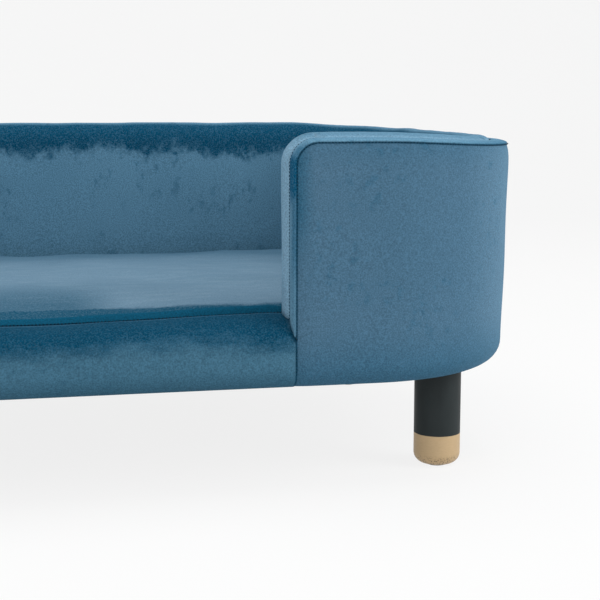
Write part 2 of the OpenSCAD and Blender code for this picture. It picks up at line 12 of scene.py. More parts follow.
import bmesh
import bpy
import numpy as np
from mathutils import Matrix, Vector

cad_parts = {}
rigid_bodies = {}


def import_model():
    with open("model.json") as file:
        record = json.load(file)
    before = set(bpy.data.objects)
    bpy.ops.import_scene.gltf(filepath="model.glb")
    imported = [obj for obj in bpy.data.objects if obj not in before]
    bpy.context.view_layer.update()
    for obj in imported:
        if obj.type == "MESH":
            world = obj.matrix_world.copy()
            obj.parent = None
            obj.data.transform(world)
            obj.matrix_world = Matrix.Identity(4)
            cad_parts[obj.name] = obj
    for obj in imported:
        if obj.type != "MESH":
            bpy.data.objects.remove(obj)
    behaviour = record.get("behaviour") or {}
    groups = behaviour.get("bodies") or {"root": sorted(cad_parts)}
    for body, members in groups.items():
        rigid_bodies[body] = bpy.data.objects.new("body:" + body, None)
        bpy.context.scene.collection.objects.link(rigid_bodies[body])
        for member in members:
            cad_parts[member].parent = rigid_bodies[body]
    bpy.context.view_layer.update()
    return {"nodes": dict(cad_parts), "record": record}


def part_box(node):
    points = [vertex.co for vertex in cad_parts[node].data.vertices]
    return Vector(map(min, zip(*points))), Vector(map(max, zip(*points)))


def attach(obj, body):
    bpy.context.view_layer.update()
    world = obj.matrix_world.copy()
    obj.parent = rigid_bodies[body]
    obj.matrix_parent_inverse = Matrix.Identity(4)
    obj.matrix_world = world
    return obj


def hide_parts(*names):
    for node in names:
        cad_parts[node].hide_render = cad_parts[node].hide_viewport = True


for unused in list(bpy.data.objects):
    bpy.data.objects.remove(unused)
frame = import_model()

# %% [markdown]
# ## Sizes
# An upholsterer cuts the covers to the frame. Lengths could be typed in again here, and
# then cloth and frame could drift apart. They are read from the boxes of the frame's nodes
# where a box gives them. All of them are in millimetres and go to metres when a mesh is
# made, since a seam of 2 mm is easier to read than one of 0.002 m.

# %% Sizes in millimetres
MM = 0.001


def box(node):
    """Lowest and highest corner of a node, in millimetres."""
    return [np.array(corner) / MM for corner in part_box(node)]


wing_low, wing_high = box("cover_wing_right")
sill_high = box("cover_sill")[1]
half_w = wing_high[0]
half_d = -wing_low[1]
seam_z = wing_high[2]
under_z = wing_low[2]
entry_x = wing_low[0]
side_seam_y = wing_high[1]
sill_z = sill_high[2]
sill_seam_u = box("lining_sill")[0][1] + half_d
hem_u = sill_high[1] + half_d
crest_z = box("lining_wall")[1][2]
deck_z = box("deck_cloth")[1][2]

# Radii of the plan's corners, of the turned corner at the entry and of the bottom edge
corner_r, entry_r, edge_r = 160.0, 20.0, 22.0
sill_drop, sill_roll_fall = 28.0, 14.0
sill_crest_z = box("lining_sill")[1][2]
sill_crest_u = sill_seam_u + 6.0
# Thickness of the stuffed wall, then the strip's width and how far it climbs to the roll
wall_t, strip_w, strip_rise = 50.0, 18.0, 3.0
crest_u, roll_fall = 32.0, 18.0
crest_rise = crest_z - seam_z
velvet_t = 1.5
turn_x, turn_y = half_w - corner_r, half_d - corner_r
arc_z, spring_z = under_z + edge_r, sill_z - sill_drop
post_top = seam_z - entry_r
print("body", 2 * half_w, 2 * half_d, seam_z, "entry", 2 * entry_x)

# %% [markdown]
# ## Small helpers
# A cover on the real bed is a flat cloth pulled over foam. It could be sculpted by hand or
# hung by a cloth simulation. Here each one is a grid of points that a formula places, since
# a formula repeats exactly and a number in it is a length that can be measured. A grid
# becomes one smooth mesh, and a skin gets its thickness inwards.

# %% Helpers for shapes


def smooth(a, b, x):
    """0 below a, 1 above b and a smooth step between: t = (x - a) / (b - a), t^2 (3 - 2t)."""
    t = np.clip((x - a) / (b - a), 0.0, 1.0)
    return t * t * (3 - 2 * t)


def waves(points, length, seed, count=9):
    """Soft noise near -1..1: a sum of sines in random directions, length long."""
    rng = np.random.default_rng(seed)
    total = np.zeros(points.shape[:-1])
    for _ in range(count):
        way = rng.normal(size=3)
        way *= 2 * np.pi / (length * rng.uniform(0.7, 1.5) * np.linalg.norm(way))
        total += np.sin(points @ way + rng.uniform(0, 2 * np.pi))
    return total / np.sqrt(count)


def points_of(x, y, z):
    """Points from three arrays or numbers that fit together."""
    return np.stack(np.broadcast_arrays(x, y, z), axis=-1).astype(float)


print("smooth step at a quarter of the way:", smooth(0, 1, 0.25))

# %% [markdown]
# ## From points to an object
# Cloth is one surface, so neighbouring points of a grid have to share a face. Blender can
# fill a grid by itself, but then its faces can turn inside out. Here the quads are numbered
# all in one direction, and smooth shading hides their edges.

# %% Faces and objects


def grid_faces(rows, cols, start=0, loop=False):
    """Quads of a grid whose rows run along the path; loop joins the last row to the first."""
    index = np.arange(rows * cols).reshape(rows, cols) + start
    if loop:
        index = np.vstack([index, index[:1]])
    a, b, c, d = index[:-1, :-1], index[1:, :-1], index[1:, 1:], index[:-1, 1:]
    return np.stack([a, b, c, d], axis=-1).reshape(-1, 4)


def new_object(name, points, faces, material):
    """A smooth object from points in millimetres and faces, with a material."""
    mesh = bpy.data.meshes.new(name)
    mesh.from_pydata((points.reshape(-1, 3) * MM).tolist(), [], faces)
    mesh.polygons.foreach_set("use_smooth", np.ones(len(mesh.polygons), dtype=bool))
    mesh.materials.append(material)
    made = bpy.data.objects.new(name, mesh)
    bpy.context.scene.collection.objects.link(made)
    return made


print("a grid of 3 by 4 points has", len(grid_faces(3, 4)), "quads")

# %% [markdown]
# ## A piece of the bed
# Each cloth has a thickness, belongs to a moving body and has a slot for its material. All
# of that could be set piece by piece. One function does it, so no piece can miss a step. It
# also writes the distance to the nearest seam on the points, for the material to read.

# %% A piece from its grids


def add_piece(name, grids, body, material, skin=velvet_t, seam=None):
    """One object from grids of points in millimetres, each (rows, cols, 3) or with a loop flag.
    seam holds, for each grid, the distance of its points to the nearest seam."""
    points, faces, start = [], [], 0
    for grid in grids:
        grid, loop = grid if isinstance(grid, tuple) else (grid, False)
        rows, cols = grid.shape[:2]
        points.append(grid.reshape(-1, 3))
        faces.append(grid_faces(rows, cols, start, loop))
        start += rows * cols
    piece = new_object(name, np.vstack(points), np.vstack(faces).tolist(), material)
    if seam is not None:
        write_field(piece, "seam_mm", np.concatenate([part.ravel() for part in seam]))
    clean(piece.data)
    if skin:
        shell = piece.modifiers.new("thickness", "SOLIDIFY")
        shell.thickness = skin * MM
        shell.offset = -1
    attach(piece, body)
    print(name, len(piece.data.vertices), "points")
    return piece


def write_field(piece, name, values):
    """Write one number on every point of a piece, for its material to read."""
    field = piece.data.attributes.new(name, "FLOAT", "POINT")
    field.data.foreach_set("value", values.astype(np.float32))


def clean(mesh, weld=0.02):
    """Weld points that meet and drop faces that collapsed to a line."""
    work = bmesh.new()
    work.from_mesh(mesh)
    bmesh.ops.remove_doubles(work, verts=work.verts, dist=weld * MM)
    bmesh.ops.dissolve_degenerate(work, edges=work.edges, dist=weld * MM / 4)
    work.to_mesh(mesh)
    work.free()


print("a skin is", velvet_t, "mm thick unless a piece says otherwise")

# %% [markdown]
# ## Colour
# A colour picked from a screen is written as a hex code in sRGB, while Blender mixes light
# in linear numbers. The two could be turned into each other by hand, colour by colour. One
# function does it for all of them, so a code in this file is the colour that the eye sees.

# %% Colour from a hex code


def linear(code):
    """Linear colour from an sRGB hex code: c / 12.92 or ((c + 0.055) / 1.055) ^ 2.4."""
    part = [int(code[i:i + 2], 16) / 255 for i in (1, 3, 5)]
    return [c / 12.92 if c <= 0.04045 else ((c + 0.055) / 1.055) ** 2.4 for c in part] + [1.0]


print("mid grey in linear light", round(linear("#808080")[0], 3))

# %% [markdown]
# ## Nodes
# Every finish on the bed shows more than one colour: pile that leans two ways, grain, worn
# spots. A picture wrapped round the pieces could show that, but it would need each piece
# laid out flat. Nodes work the colour out from the place of a point, so a pattern has a
# real size: Object coordinates are in metres, and noise of scale 1 / L has features about
# L wide. One function adds any node, and settings that come back often have a name.

# %% Nodes
SMOOTH = {"interpolation_type": "SMOOTHSTEP"}
COLOURS = {"data_type": "RGBA", "out": 2}
TIMES, TIMES_PLUS = {"operation": "MULTIPLY"}, {"operation": "MULTIPLY_ADD"}
LARGER, UNSIGNED = {"operation": "MAXIMUM"}, {"operation": "ABSOLUTE"}
# Numbers written on the points of a piece, in millimetres: the distance to the nearest
# seam of a cover, and the depth inwards from the outer face on the strip and the lining
SEAM = {"attribute_name": "seam_mm", "out": "Fac"}
DEPTH = {"attribute_name": "depth_mm", "out": "Fac"}
ALL = slice(None)


class Net:
    """The node tree of one material, with the place and the normal of each point."""

    def __init__(self, name):
        self.material = bpy.data.materials.new(name)
        self.material.use_nodes = True
        self.tree = self.material.node_tree
        self.tree.nodes.clear()
        self.place = self.add("TexCoord", out="Object")
        self.normal = self.add("NewGeometry", out="Normal")

    def add(self, kind, *inputs, out=0, **more):
        """Add a node and return its output. Inputs come in the node's own order. More holds
        its properties and, with a capital, inputs by name. An output given here is linked."""
        made = self.tree.nodes.new("ShaderNode" + kind)
        sockets = {socket.identifier.replace(" ", "_"): socket for socket in made.inputs}
        pairs = list(zip(made.inputs, inputs))
        for key, value in more.items():
            if key[0].isupper():
                pairs.append((sockets[key], value))
            else:
                setattr(made, key, value)
        for socket, value in pairs:
            if isinstance(value, bpy.types.NodeSocket):
                self.tree.links.new(value, socket)
            else:
                socket.default_value = value
        return made.outputs[out]

    def finish(self, **sockets):
        """Fill the sockets of a Principled shader, link it to the output, return the material."""
        self.add("OutputMaterial", self.add("BsdfPrincipled", **sockets), out=ALL)
        return self.material


print("one function adds every node")

# %% [markdown]
# ## Mottled patterns
# Brushed pile, wood grain and dust are all irregular. An image of each would repeat. Noise
# never does, and a step on it makes patches out of a smooth change. A hand leaves a ragged
# edge, so one step here has its place pushed about by two sizes of noise.

# %% Mottled patterns


def mottle(net, length, detail=3.0, stretch=None, rough=0.55):
    """A mottled pattern 0..1 with features about length metres wide, longer along a stretched
    axis: the place is divided by the stretch before the noise reads it."""
    place = net.place
    if stretch is not None:
        place = net.add("Mapping", place, Scale=[1 / s for s in stretch])
    return net.add("TexNoise", place, Scale=1 / length, Detail=detail, Roughness=rough)


def ragged(net, value, low, high, length=0.030, swing=0.6, stretch=None):
    """A smooth step whose edge is pushed about by two sizes of noise, swing times its own width."""
    width = swing * (high - low)
    shift = net.add("Math", mottle(net, length, 4, stretch), 2 * width, -width, **TIMES_PLUS)
    ends = net.add("Math", mottle(net, length / 5, 3, stretch, 0.7), 1.4 * width, -0.7 * width,
                   **TIMES_PLUS)
    moved = net.add("Math", value, net.add("Math", shift, ends))
    return net.add("MapRange", moved, low, high, **SMOOTH)


print("two patterns: mottled, and a step with a ragged edge")

# %% [markdown]
# ## Velvet
# The cloth is a short-pile polyester velvet, woven and then brushed. To the eye it is one
# colour seen in two ways: light where the pile lies away from the eye and deep where the
# eye looks into it. Hairs could be grown on every panel, but at this distance they are
# finer than a pixel. So one material paints the two tones in: a mask says where the pile
# stands against the view or lies in shade, and puts the deep tone there as painted shade,
# and a second mask puts a paler tone as painted sheen. Noise makes the edge of an area
# ragged, as a hand leaves it, and a fine grain and bump stand for the tips. The grain is
# drawn 1.3 mm wide, since real pile, at 0.2 mm, would not show.

# %% Velvet


def velvet(name, base, deep, mask=None, stretch=None, patch=0.10, sheen=0.10, light=None,
           painted_sheen_mask=None, marks=0.0, streaks=0.0, seams=True, contrast=0.24, groove_mm=1.5):
    """Short-pile velvet. mask(net) gives the share of the deep tone, which is painted shade; the
    light tone's mask gives the share of the light one, which is painted sheen; marks the strength
    of rubbed spots, streaks that of pale strokes along X, contrast the grain's, groove_mm the
    distance from a seam at which its line of painted shade ends."""
    net = Net(name)
    nap = net.add("MapRange", mottle(net, 0.09, 4, stretch), 0.3, 0.7, 0.0, patch, **SMOOTH)
    tone = net.add("Mix", nap, A_Color=linear(base), B_Color=linear(deep), **COLOURS)
    # Painted sheen: a paler tone where the pile would catch the light
    if painted_sheen_mask is not None:
        tone = net.add("Mix", painted_sheen_mask(net), A_Color=tone, B_Color=linear(light), **COLOURS)
    if marks:
        spots = net.add("MapRange", mottle(net, 0.011, 4, stretch, 0.65), 0.53, 0.68, 0.0, marks, **SMOOTH)
        area_of = net.add("MapRange", mottle(net, 0.08, 2), 0.46, 0.60, **SMOOTH)
        rubbed = net.add("Math", spots, area_of, **TIMES)
        tone = net.add("Mix", rubbed, A_Color=tone, B_Color=linear(deep), **COLOURS)
    if streaks:
        stroke = net.add("MapRange", mottle(net, 0.007, 4, (6, 1, 1), 0.7), 0.45, 0.70, 0.0, streaks,
                         **SMOOTH)
        tone = net.add("Mix", stroke, A_Color=tone, B_Color=linear("#93adbd"), **COLOURS)
    # Painted shade: the deep tone where the pile faces the eye or lies in shade
    if mask is not None:
        tips = net.add("MapRange", mottle(net, 0.0015, 2), 0.35, 0.70, 1.06, 0.70, **SMOOTH)
        share = net.add("Math", mask(net), tips, **TIMES)
        tone = net.add("Mix", share, A_Color=tone, B_Color=linear(deep), **COLOURS)
    # Painted shade in the seam grooves: darker within groove_mm of a seam
    if seams:
        groove_shade = net.add("MapRange", net.add("Attribute", **SEAM), groove_mm, 0.2 * groove_mm,
                         0.0, 0.75, **SMOOTH)
        tone = net.add("Mix", groove_shade, A_Color=tone, B_Color=linear("#003850"), **COLOURS)
    fine = mottle(net, 0.0013, 1)
    grain = net.add("MapRange", fine, 0.22, 0.78, 1.0 - contrast, 1.0 + contrast, **SMOOTH)
    grey = net.add("CombineColor", grain, grain, grain)
    tone = net.add("Mix", 1.0, A_Color=tone, B_Color=grey, blend_type="MULTIPLY", **COLOURS)
    soft = net.add("Bump", Strength=1.0, Distance=0.0006, Height=mottle(net, 0.035, 3))
    pile = net.add("Bump", Strength=1.0, Distance=0.00016, Height=fine, Normal=soft)
    return net.finish(Base_Color=tone, Roughness=0.9, Normal=pile, Specular_IOR_Level=0.06,
                      Sheen_Weight=sheen, Sheen_Roughness=0.4, Sheen_Tint=linear("#6ea0bf"))


print("velvet: two tones, a mask between them and a grain 1.3 mm wide")

# %% [markdown]
# ## Painted sheen and shade where the pile turns
# On the real bed a hand has brushed each panel its own way, and rounded places lean into or
# away from the view and the light. The sheen and shade that this gives are painted into the
# colour here. These areas could be painted by hand. They are rules on the place of a point
# instead, read off against the photograph in metres, so they stay where they are when the
# bed moves.

# %% Masks of the lining and the sill


def lining_painted_shade(net):
    """Painted shade: deep where the roll turns down into the well, and a little painted shade just over the
    cushion.
    """
    z = net.add("SeparateXYZ", net.place, out=2)
    roll = ragged(net, z, 0.286, 0.306, 0.035, 1.3, (1.4, 1.4, 1.6))
    inside = net.add("MapRange", net.add("Attribute", **DEPTH), 33.0, 40.0, **SMOOTH)
    foot = net.add("MapRange", z, 0.205, 0.172, 0.0, 0.12, **SMOOTH)
    return net.add("Math", net.add("Math", roll, inside, **TIMES), foot, **LARGER)


def roll_painted_sheen(net):
    """Painted sheen on the outer side of the roll, where the pile lies away from the eye; less on its flat
    top.
    """
    side = net.add("MapRange", net.add("SeparateXYZ", net.normal, out=2), 0.95, 0.50, 0.15, 1.0, **SMOOTH)
    outer = net.add("MapRange", net.add("Attribute", **DEPTH), 37.0, 31.0, **SMOOTH)
    return net.add("Math", outer, side, **TIMES)


def sill_painted_shade(net):
    """Painted shade, deep over the broad round front of the sill, with a ragged lower edge, a
    painted highlight beside the seam and a little painted shade low down."""
    z = net.add("SeparateXYZ", net.place, out=2)
    front = ragged(net, z, 0.131, 0.156, 0.05, 0.65, (2.2, 1, 1))
    start = net.add("MapRange", net.add("Attribute", **SEAM), 1.2, 2.4, **SMOOTH)
    end = net.add("MapRange", net.add("Attribute", **SEAM), 8.0, 4.0, **SMOOTH)
    above = net.add("MapRange", z, 0.152, 0.158, **SMOOTH)
    # Painted highlight: the deep share is lowered beside the seam
    pale = net.add("Math", net.add("Math", start, end, **TIMES), above, **TIMES)
    kept_share = net.add("Math", pale, -0.35, 1.0, **TIMES_PLUS)
    low = net.add("MapRange", z, 0.128, 0.100, 0.0, 0.25, **SMOOTH)
    return net.add("Math", net.add("Math", front, kept_share, **TIMES), low, **LARGER)


print("masks of the lining and the sill written")

# %% [markdown]
# The strip gets painted shade below each shoulder, beside the face seam and a little on top.
# The wings get a little painted shade beside the entry, along the top and low down, and a
# painted sheen round the front corners. One rule for both would be shorter, but the strip
# turns over while a wing stands upright.

# %% Masks of the strip and the wings


def strip_painted_shade(net):
    """Painted shade: deep on the strip below the shoulder of a wing, half deep beside the face seam, only a
    little deep on top.
    """
    z = net.add("SeparateXYZ", net.place, out=2)
    below = net.add("MapRange", z, 0.319, 0.305, **SMOOTH)
    shoulder = net.add("Math", ragged(net, z, 0.262, 0.284, 0.02, 0.5), below, **TIMES)
    outer = net.add("MapRange", net.add("Attribute", **DEPTH), 9.0, 3.0, **SMOOTH)
    under_top = net.add("MapRange", z, 0.324, 0.316, **SMOOTH)
    growing = net.add("MapRange", z, 0.185, 0.235, 0.2, 0.6, **SMOOTH)
    side = net.add("Math", net.add("Math", outer, under_top, **TIMES), growing, **TIMES)
    top = net.add("MapRange", z, 0.322, 0.328, 0.0, 0.22, **SMOOTH)
    return net.add("Math", net.add("Math", shoulder, side, **LARGER), top, **LARGER)


def wing_painted_shade(net):
    """Painted shade: a little deeper beside the entry, along the top and low on the panel."""
    x, y, z = net.add("SeparateXYZ", net.place, out=ALL)
    beside = net.add("MapRange", net.add("Math", x, **UNSIGNED), 0.248, 0.229, **SMOOTH)
    front = net.add("MapRange", y, -0.15, -0.25, **SMOOTH)
    high = net.add("MapRange", z, 0.20, 0.27, 0.0, 1.4, **SMOOTH)
    near = net.add("Math", net.add("Math", beside, front, **TIMES), high, **TIMES)
    low = net.add("MapRange", z, 0.165, 0.105, **SMOOTH)
    top = net.add("MapRange", z, 0.295, 0.320, 0.0, 0.4, **SMOOTH)
    total = net.add("Math", net.add("Math", near, top, **LARGER), low)
    return net.add("Math", total, 0.42, **TIMES)


def wing_painted_sheen(net):
    """Painted sheen: round the front corners the pile leans away from the eye, so the panel is painted paler.
    """
    across = net.add("Math", net.add("SeparateXYZ", net.place), **UNSIGNED)
    return net.add("MapRange", across, 0.375, 0.468, 0.0, 0.25, **SMOOTH)


print("masks of the strip and the wings written")

# %% [markdown]
# The cushion's pile lies flat on top, where the dog sleeps, and its base tone is paler than
# the other panels' as painted sheen. Its front edge, its back and its sides get painted shade,
# broader at the middle of the entry. A smooth step alone would look sprayed on, so the line
# along the front edge is ragged.

# %% Mask of the cushion


def cushion_painted_shade(net):
    """Painted shade: deep along the cushion's front edge in a narrow fuzzy line, broader at the
    middle of the bed, softly towards its back, and on its sides."""
    x, y, z = net.add("SeparateXYZ", net.place, out=ALL)
    across = net.add("Math", x, **UNSIGNED)
    broad = net.add("MapRange", across, 0.20, 0.02, 0.0, 0.020, **SMOOTH)
    front = net.add("Math", broad, y, operation="SUBTRACT")
    middle = net.add("MapRange", across, 0.09, 0.03, **SMOOTH)
    soft = net.add("Math", net.add("MapRange", front, 0.115, 0.200, 0.0, 0.70, **SMOOTH), middle, **TIMES)
    edge = ragged(net, front, 0.201, 0.211, 0.012, 0.6, (2, 1, 1))
    rear = net.add("MapRange", y, -0.03, 0.14, 0.0, 0.58, **SMOOTH)
    side = net.add("MapRange", z, 0.166, 0.150, **SMOOTH)
    top_share = net.add("Math", net.add("Math", edge, soft, **LARGER), rear, **LARGER)
    return net.add("Math", top_share, side, **LARGER)


print("mask of the cushion written")

# %% [markdown]
# All panels are cut from one roll of cloth, so they could share one material. They get one
# each, with the same weave and near tones, because every panel is brushed its own way, and
# each panel's base and deep tones also carry painted sheen and shade for how it is lit and seen.

# %% The cloth of each panel
cover_velvet = velvet("velvet_cover_blue", "#4a6b82", "#04506c", wing_painted_shade, sheen=0.20,
                      light="#86a9c0", painted_sheen_mask=wing_painted_sheen, marks=0.3)
sill_velvet = velvet("velvet_sill_blue", "#41697f", "#003b54", sill_painted_shade, (1.6, 1, 1), sheen=0.05,
                     marks=0.3)
strip_velvet = velvet("velvet_strip_blue", "#628ca4", "#034f70", strip_painted_shade, sheen=0.05, marks=0.3)
lining_velvet = velvet("velvet_lining_blue", "#567f97", "#00405b", lining_painted_shade, (1, 1, 1.8),
                       light="#7da1b8", painted_sheen_mask=roll_painted_sheen, marks=0.38, groove_mm=2.5)
# The sill's lining is nearly its deep tone all over: painted shade where it turns down into the well
sill_lining_velvet = velvet("velvet_sill_lining_blue", "#0b4b65", "#00384f", None, (2, 1, 1))
cushion_velvet = velvet("velvet_cushion_blue", "#6b889c", "#0b4861", cushion_painted_shade, (3.0, 1, 1), 0.16,
                        streaks=0.16, seams=False, contrast=0.13)
print("velvets made:", len(bpy.data.materials), "materials so far")

# %% [markdown]
# ## The wall's path
# The rolled edge is what takes the sewer the most skill: one roll that climbs out of the
# entry, turns over the wing and runs round the back without a break. A curve object with a
# bevel could carry it, but would pinch at the turned corner and give no place for a seam.
# So a path is walked and a section is set up on it again and again.
# The face seam is followed from the foot of the right-hand entry side, over the turned
# corner, round the bed, and down the left-hand side. At each point O lies on the seam, I
# points into the wall and H points away from the panel. A section point (u, h) lies at
# P = O + u I + h H.

# %% Path of the rolled edge


DROP_ROWS, BEND_ROWS = 24, 15


def half_path():
    """Right-hand half, up to the middle of the back; the last array is 0..1 on the drop."""
    share = np.linspace(0, 1, DROP_ROWS + 1)[:-1]
    bend = np.linspace(0, np.pi / 2, BEND_ROWS)
    turn = np.linspace(0, np.pi / 2, 33)
    front_x = np.linspace(entry_x + entry_r, turn_x, 8)[1:-1]
    side_y = np.linspace(-turn_y, turn_y, 25)[1:-1]
    back_x = np.linspace(turn_x, 0, 33)[1:]
    ahead = points_of(np.sin(turn), -np.cos(turn), 0)
    behind = points_of(np.cos(turn), np.sin(turn), 0)
    up = (0, 0, 1)
    runs = [
        (points_of(entry_x, -half_d, spring_z + share * (post_top - spring_z)), (0, 1, 0), (-1, 0, 0)),
        (points_of(entry_x + entry_r * (1 - np.cos(bend)), -half_d, post_top + entry_r * np.sin(bend)),
         (0, 1, 0), points_of(-np.cos(bend), 0, np.sin(bend))),
        (points_of(front_x, -half_d, seam_z), (0, 1, 0), up),
        ([turn_x, -turn_y, seam_z] + corner_r * ahead, -ahead, up),
        (points_of(half_w, side_y, seam_z), (-1, 0, 0), up),
        ([turn_x, turn_y, seam_z] + corner_r * behind, -behind, up),
        (points_of(back_x, half_d, seam_z), (0, -1, 0), up)]
    o = np.vstack([run[0] for run in runs])
    i = np.vstack([np.broadcast_to(run[1], run[0].shape) for run in runs])
    h = np.vstack([np.broadcast_to(run[2], run[0].shape) for run in runs])
    drop = np.concatenate([share, np.full(len(o) - len(share), np.nan)])
    return o, i.astype(float), h.astype(float), drop


print("right-hand half of the path:", len(half_path()[0]), "points")

# %% [markdown]
# The bed is the same on both sides. The left half could be walked as well, but a mirror
# image of the right one, run the other way, can't differ from it by mistake.

# %% Whole path


def whole_path():
    """Both halves joined: the left one is the mirror image, run the other way."""
    flip = np.array([-1.0, 1.0, 1.0])
    o, i, h, drop = half_path()
    return (np.vstack([o, (o * flip)[-2::-1]]), np.vstack([i, (i * flip)[-2::-1]]),
            np.vstack([h, (h * flip)[-2::-1]]), np.concatenate([drop, drop[-2::-1]]))


O, I, H, DROP = whole_path()
ON_DROP = ~np.isnan(DROP)

print("path", len(O), "points,", int(ON_DROP.sum()), "on the two drops")

# %% [markdown]
# ## A section along the path
# On the entry's sides the roll ends on the sill, whose height depends on the place. It could
# be cut off there with a boolean, but that leaves torn edges. So each column of the section
# is stretched from the sill's top to the wing's corner, and the whole wall then settles, as
# stuffing makes it lean out at the corners and drop at the ends.

# %% Section along the path


def sill_top(u):
    """Height of the sill: a quarter ellipse up to the seam, the lining's roll, its fall."""
    u = np.asarray(u, dtype=float)
    front = spring_z + sill_drop * np.sqrt(np.clip(1 - ((sill_seam_u - u) / sill_seam_u) ** 2, 0, 1))
    share = np.clip((u - sill_seam_u) / (sill_crest_u - sill_seam_u), 0, 1)
    roll = sill_z + (sill_crest_z - sill_z) * np.sin(np.pi / 2 * share)
    past = np.clip((u - sill_crest_u) / (wall_t - sill_crest_u), 0, 1)
    fall = sill_crest_z - sill_roll_fall * (1 - np.sqrt(1 - past ** 2))
    return np.where(u < sill_seam_u, front, np.where(u < sill_crest_u, roll, fall))


def settle(points):
    """The stuffed wall leans out 4 mm at its rounded corners and drops 6 mm at the ends."""
    x, y, z = np.moveaxis(points, -1, 0)
    share = np.clip((z - arc_z) / (seam_z - arc_z), 0, 1)
    out = points.copy()
    out[..., 0] += np.sign(x) * 4.0 * share * smooth(0, corner_r, np.abs(x) - turn_x)
    out[..., 1] += np.sign(y) * 2.5 * share * smooth(0, corner_r, np.abs(y) - turn_y)
    out[..., 2] -= 6.0 * share * smooth(300, 460, np.abs(x))
    return out


def normals(u, h):
    """Unit normals of a section that runs from the face over the top to the well."""
    du, dh = np.gradient(u), np.gradient(h)
    length = np.hypot(du, dh)
    return -dh / length, du / length


def sweep(u, h, rise=None, rows=slice(None)):
    """Carry a section along the path, pushed out by rise[row, col], settled."""
    o, i, ho, drop = O[rows], I[rows], H[rows], DROP[rows]
    rise = np.zeros((len(o), len(u))) if rise is None else rise
    nu, nh = normals(u, h)
    uu, hh = u + nu * rise, h + nh * rise
    points = o[:, None] + uu[..., None] * i[:, None] + hh[..., None] * ho[:, None]
    on = ~np.isnan(drop)
    foot = np.broadcast_to(sill_top(u) - 0.6, points[on].shape[:2])
    points[on, :, 2] = foot + drop[on][:, None] * (post_top - foot)
    return settle(points)


print("height of the sill at its seam:", round(float(sill_top(sill_seam_u)), 1), "mm")

# %% [markdown]
# ## Edge strip
# A narrow strip of velvet joins the outer cover to the lining. Foam presses it up into a
# pillow between two sunk seams, where the thread gathers it in short puckers. A bump map
# could fake the puckers, but the strip is seen from its side, where only real relief
# shows. The section is an arc, and noise along the path pulls it in beside each seam.

# %% Seams that gather the cloth


def puckers(count_mm, points_along, seed):
    """Little gathers along a seam, about count_mm long each, -1..1."""
    rng = np.random.default_rng(seed)
    phase = np.cumsum(rng.uniform(0.7, 1.3, len(points_along)))
    return np.sin(2 * np.pi * points_along / count_mm + 0.8 * np.sin(phase))


def drawn_in(near):
    """How far a panel is drawn in at a distance from its seam: a e^-(d/4)^2 + b e^-(d/12)^2."""
    return 1.2 * np.exp(-(near / 4.2) ** 2) + 1.2 * np.exp(-(near / 12.0) ** 2)


def write_depth(piece):
    """Depth inwards from the outer face, seen from above: r - |(|x| - a, |y| - b)|."""
    places = np.empty(len(piece.data.vertices) * 3)
    piece.data.vertices.foreach_get("co", places)
    past = np.clip(np.abs(places.reshape(-1, 3)[:, :2]) / MM - [turn_x, turn_y], 0, None)
    write_field(piece, "depth_mm", corner_r - np.hypot(past[:, 0], past[:, 1]))


print("at a seam a panel is drawn in by", drawn_in(0), "mm")

# %% [markdown]
# The pillow could be half a circle, but stuffing fills a strip nearly up to its seams. The
# root of a sine does that. The outer seam is drawn in towards the wall, and the inner one is
# sunk beside the roll.

# %% Edge strip
step_len = np.linalg.norm(np.diff(O, axis=0), axis=1)
ALONG = np.concatenate([[0], np.cumsum(step_len)])

t = np.linspace(0, 1, 17)
strip_u, strip_h = strip_w * t, strip_rise * t
swell = 2.3 * np.sin(np.pi * t) ** 0.5
strip_u = strip_u + drawn_in(0) * np.exp(-(strip_w * t / 2.2) ** 2)
strip_h = strip_h - 1.3 * np.exp(-(strip_w * (1 - t) / 1.5) ** 2)
strip_points = sweep(strip_u, strip_h, swell + 0.12 * waves(sweep(strip_u, strip_h), 40, 3))
strip_seam = np.broadcast_to(np.minimum(strip_w * t, strip_w * (1 - t)), strip_points.shape[:2])
strip = add_piece("edge_strip_velvet", [strip_points], "sofa_body", strip_velvet,
                  seam=[strip_seam])
write_depth(strip)
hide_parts("edge_strip")

# %% [markdown]
# ## Lining and roll
# Behind the strip the lining swells as a soft roll, then drops down the inside of the wall
# to the deck. Roll and wall could be two pieces with a join to hide. On the bed it is one
# cloth, so it is one section here: part of one ellipse up, part of another one down and
# a run down the wall.

# %% Wall lining with the roll
a = np.linspace(0, 1, 11)
left_half = (crest_u - strip_w) / np.sqrt(1 - ((strip_rise + roll_fall) / (crest_rise + roll_fall)) ** 2)
start = np.arccos((crest_u - strip_w) / left_half)
rise_angle = start + (np.pi / 2 - start) * a
outer_u = crest_u - left_half * np.cos(rise_angle)
outer_h = -roll_fall + (crest_rise + roll_fall) * np.sin(rise_angle)
fall_angle = np.linspace(np.pi / 2, 0, 17)[1:]
inner_u = crest_u + (wall_t - crest_u) * np.cos(fall_angle)
inner_h = -roll_fall + (crest_rise + roll_fall) * np.sin(fall_angle)
roll_u, roll_h = np.concatenate([outer_u, inner_u]), np.concatenate([outer_h, inner_h])
down = -roll_fall - (seam_z - roll_fall - deck_z) * np.linspace(0, 1, 27)[1:] ** 1.1
wall_u, wall_h = np.concatenate([roll_u, wall_t + 0 * down]), np.concatenate([roll_h, down])


def sunk(u, h):
    """The lining's edge lies 1.3 mm below the second seam, in the same groove as the strip's."""
    run = np.hypot(u - strip_w, h - strip_rise)
    return u, h - 1.3 * np.exp(-(run / 2.5) ** 2)


